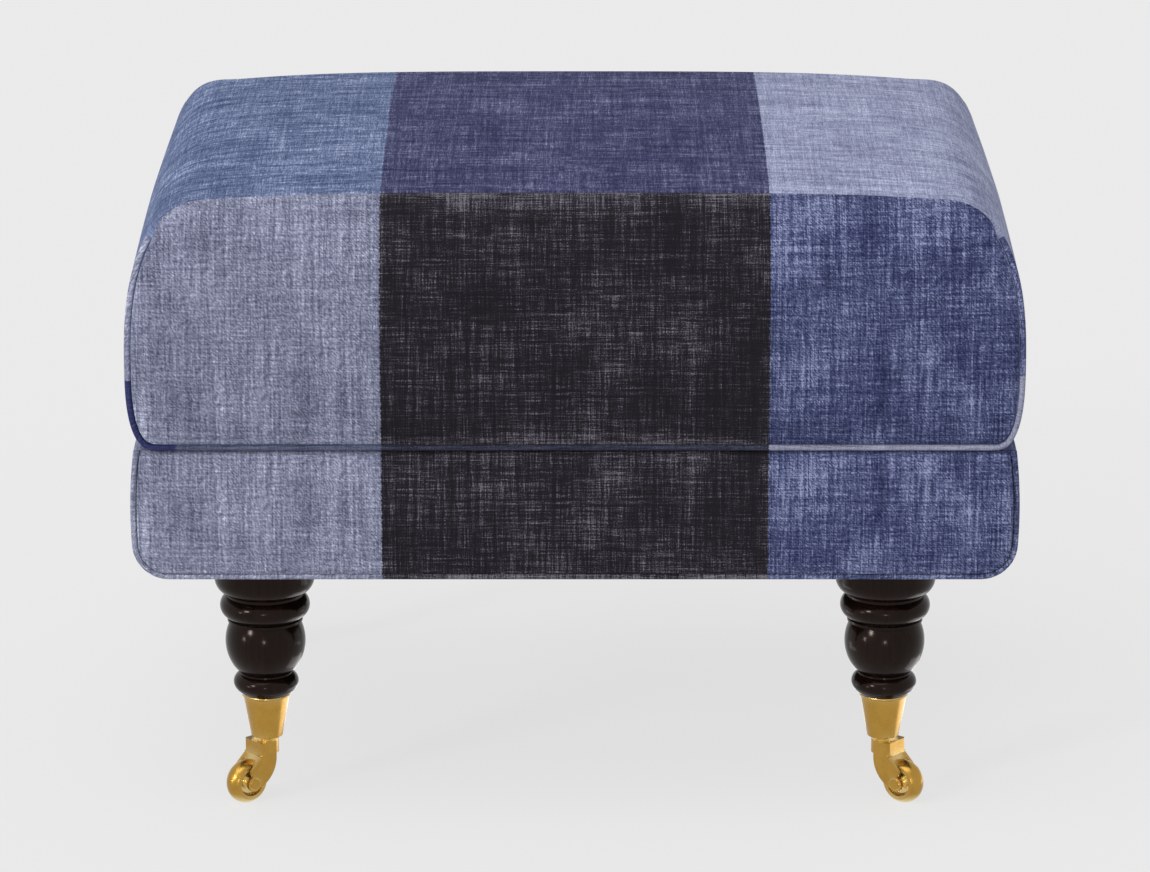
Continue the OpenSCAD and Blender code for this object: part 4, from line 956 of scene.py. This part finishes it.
LONG_Y = strap_places(5, RAIL_Y - RAIL_T)
CROSS_X = strap_places(7, RAIL_X - RAIL_T)


def flat_sheet(name, x, y, z, thickness, material, node_names):
    """A cloth of given thickness on a grid of x and y, with its middle at height z."""
    outer = grid(x, y, z + thickness / 2)
    nrm = unit(np.cross(np.gradient(outer, axis=0), np.gradient(outer, axis=1)))
    nrm *= np.sign(nrm[..., 2:])
    obj = thick_grid(name, outer, nrm, thickness, outer[..., :2].copy(), material)
    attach(obj, BODY)
    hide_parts(*node_names)


def strap_height(s, half, crossings, first):
    """Height along a strap that goes over and under the straps that cross it, and down onto the rails."""
    crossed = np.add.outer(crossings, [-STRAP_W / 2, STRAP_W / 2]).ravel()
    ups = [first * (-1) ** (k // 2) for k in range(len(crossed))]
    marks = np.r_[-half, RAIL_T - half, crossed, half - RAIL_T, half]
    order = np.argsort(marks, kind="stable")
    raw = np.interp(s, marks[order], np.r_[-1.0, -1.0, ups, -1.0, -1.0][order])
    return RAIL_TOP + STRAP_T + STRAP_WAVE * np.sin(raw * np.pi / 2)


def add_straps():
    """Five straps along the frame and seven across it, woven into each other."""
    across = np.linspace(-1, 1, 9) * STRAP_W / 2
    half = RAIL_X - STRAP_SHORT
    s = np.linspace(-half, half, 181)
    for i, y0 in enumerate(LONG_Y):
        flat_sheet(f"strap_long_{i + 1}", s[:, None], y0 + across[None, :],
                   strap_height(s, half, CROSS_X, 1 if i % 2 else -1)[:, None], STRAP_T, M_JUTE,
                   ["webbing_lengthwise"])
    half = RAIL_Y - STRAP_SHORT
    s = np.linspace(-half, half, 141)
    for i, x0 in enumerate(CROSS_X):
        flat_sheet(f"strap_cross_{i + 1}", x0 + across[None, :], s[:, None],
                   strap_height(s, half, LONG_Y, -1 if i % 2 else 1)[:, None], STRAP_T, M_JUTE,
                   ["webbing_crosswise"])


def add_hessian():
    """Hessian over the straps, in slight waves."""
    low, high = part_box("hessian")
    x = np.linspace(low[0], high[0], 91)[:, None]
    y = np.linspace(low[1], high[1], 67)[None, :]
    wave = HESSIAN_WAVE * np.sin(x * 2 * np.pi / HESSIAN_PITCH_X) * np.sin(y * 2 * np.pi / HESSIAN_PITCH_Y)
    flat_sheet("hessian_cloth", x, y, (low[2] + high[2]) / 2 + wave, high[2] - low[2] - 0.0002, M_HESSIAN,
               ["hessian"])


add_straps()
add_hessian()

# -------- wadding round the frame
# clearance from rails and covers, corner radius, least thickness, and how much is cut at the base's lower corners
WAD_CLEAR, WAD_SLACK, WAD_CORNER_R, WAD_THIN, WAD_LOW_CUT = 0.0002, 0.0008, 0.002, 0.0006, 0.006


def frame_loop():
    """Points along the frame's outline, which is rounded at its corners, and the way out at each."""
    r = WAD_CORNER_R
    loop = []
    for cx, cy, a0 in ((1, 1, 0), (-1, 1, 90), (-1, -1, 180), (1, -1, 270)):
        for a in np.radians(np.linspace(a0, a0 + 90, 7)):
            loop.append((cx * (RAIL_X + WAD_CLEAR - r) + r * math.cos(a),
                         cy * (RAIL_Y + WAD_CLEAR - r) + r * math.sin(a), math.cos(a), math.sin(a)))
    loop = np.array(loop)
    dense = []
    for here, there in zip(loop, np.roll(loop, -1, 0)):
        steps = 40 if np.linalg.norm(there[:2] - here[:2]) > 0.02 else 1
        dense += [here * (1 - f) + there * f for f in np.arange(steps) / steps]
    dense = np.array(dense)
    return dense[:, :2], dense[:, 2:]


def drawn_in(loop, height, extra):
    """A loop of points at a height, kept inside the side covers and, at its ends, behind the piping."""
    inset = CLOTH_T + 2 * GAP
    limits = []
    for depth in (inset, inset + NOTCH):
        lining = box_side(BASE_W, BASE_LOW_R, BASE_EDGE_R, depth)
        limits.append(np.interp(height, lining[:, 1], lining[:, 0]) - extra)
    limit = np.where(np.abs(loop[:, 1]) > BASE_END - NOTCH - inset, limits[1], limits[0])
    return np.column_stack([np.clip(loop[:, 0], -limit, limit), loop[:, 1], np.full(len(loop), height)])


def add_base_wadding():
    """A loop of wadding round the frame, fullest at mid height."""
    low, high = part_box("base_wadding")
    path, out = frame_loop()
    t = np.linspace(0, 1, 17)
    z = low[2] + (high[2] - low[2]) * t
    belly = BIG_R - np.sqrt(BIG_R ** 2 - np.minimum(np.abs(z - BASE_MID), BIG_R) ** 2)
    room = BASE_W / 2 - CLOTH_T - GAP - belly - RAIL_X - WAD_SLACK
    lower = np.clip((BASE_Z + BASE_LOW_R - z) / (BASE_LOW_R - NOTCH), 0, 1)
    rounded = np.sin(np.clip(0.12 + 3 * np.minimum(t, 1 - t), 0, 1) * np.pi / 2)
    thick = np.maximum((room - WAD_LOW_CUT * lower ** 2) * rounded, WAD_THIN)
    rows = [drawn_in(path + out * thick_here, height, 0.0) for height, thick_here in zip(z, thick)]
    rows += [drawn_in(path, height, WAD_THIN) for height in z[::-1]]
    a = np.arange(len(rows) * len(path)).reshape(len(rows), -1)
    b = np.roll(a, -1, 0)
    faces = np.stack([a, np.roll(a, -1, 1), np.roll(b, -1, 1), b], -1).reshape(-1, 4)
    obj = add_object("wadding_base", np.vstack(rows), faces, [M_WADDING])
    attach(obj, BODY)
    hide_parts("base_wadding")


add_base_wadding()

# -------- dust cover
# radius of its cut-outs, its thickness, its turned hem, and the depth of its sag and ripples
HOLE_R, DUST_T, HEM_T, HEM_W, DUST_SAG, DUST_RIPPLE = 0.0363, 0.0006, 0.0002, 0.010, 0.0016, 0.0001
# how far from its edge and from a leg it starts to sag, and over which distance
TACKED, AT_LEG, SAG_REACH = 0.012, 0.010, 0.12
LEGS = [(a * LEG_X, b * LEG_Y) for a in (-1, 1) for b in (-1, 1)]


def open_edges(quads):
    """Edges that only one quad has, in that quad's direction."""
    edges = {}
    for quad in quads.tolist():
        for a, b in zip(quad, quad[1:] + quad[:1]):
            if not edges.pop((b, a), False):
                edges[a, b] = True
    return list(edges)


def add_dust_cover():
    """Black cloth under the frame, cut out round the legs, with a slight sag between its tacked edges."""
    low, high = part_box("dust_cover")
    nx, ny = 116, 86
    plan = np.meshgrid(np.linspace(low[0], high[0], nx), np.linspace(low[1], high[1], ny), indexing="ij")
    gx, gy = plan[0].ravel(), plan[1].ravel()
    dist = np.min([np.hypot(gx - x, gy - y) for x, y in LEGS], axis=0)
    ids = np.arange(nx * ny).reshape(nx, ny)
    quads = np.stack([ids[:-1, :-1], ids[1:, :-1], ids[1:, 1:], ids[:-1, 1:]], -1).reshape(-1, 4)
    quads = quads[(dist[quads] > HOLE_R).any(axis=1)]
    for x, y in LEGS:
        # points that fall inside a cut-out move out to its edge
        dx, dy = gx - x, gy - y
        d = np.hypot(dx, dy)
        gx = np.where(d <= HOLE_R, x + dx / np.maximum(d, 1e-9) * HOLE_R, gx)
        gy = np.where(d <= HOLE_R, y + dy / np.maximum(d, 1e-9) * HOLE_R, gy)
    used, quads = np.unique(quads, return_inverse=True)
    quads = quads.reshape(-1, 4)
    px, py = gx[used], gy[used]
    to_edge = np.minimum.reduce([px - low[0], high[0] - px, py - low[1], high[1] - py])
    to_leg = np.maximum(dist[used] - HOLE_R, 0)
    free = np.clip(np.minimum(to_edge - TACKED, to_leg - AT_LEG) / SAG_REACH, 0, 1)
    sag = DUST_SAG * np.sin(free * np.pi / 2) ** 2 + DUST_RIPPLE * np.sin(px * 190) * np.sin(py * 170) * free
    hem = HEM_T * np.clip((HEM_W - to_edge) / 0.001, 0, 1)
    z_low = low[2] + 0.0001 - sag - hem
    verts = np.vstack([np.column_stack([px, py, z_low]), np.column_stack([px, py, z_low + DUST_T + hem])])
    n = len(used)
    faces = [*quads[:, ::-1], *(quads + n)]
    faces += [(a, b, b + n, a + n) for a, b in open_edges(quads)]
    obj = add_object("dust_cloth", verts, faces, [M_FELT])
    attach(obj, BODY)
    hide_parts("dust_cover")


add_dust_cover()

# -------- carried-over nodes
for name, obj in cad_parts.items():
    if name.startswith("leg_"):
        mat = M_DARK_WOOD
    elif name in ("front_rail", "back_rail", "corner_blocks"):
        mat = M_FRAME_WOOD_X
    elif name in ("left_rail", "right_rail", "centre_rail", "rail_dowels"):
        mat = M_FRAME_WOOD_Y
    elif name.startswith(("cup_", "fork_", "axle_", "wheel_")) or name == "swivel_collars":
        mat = M_BRASS
    else:
        mat = M_STEEL
    for slot in obj.material_slots:
        slot.material = mat
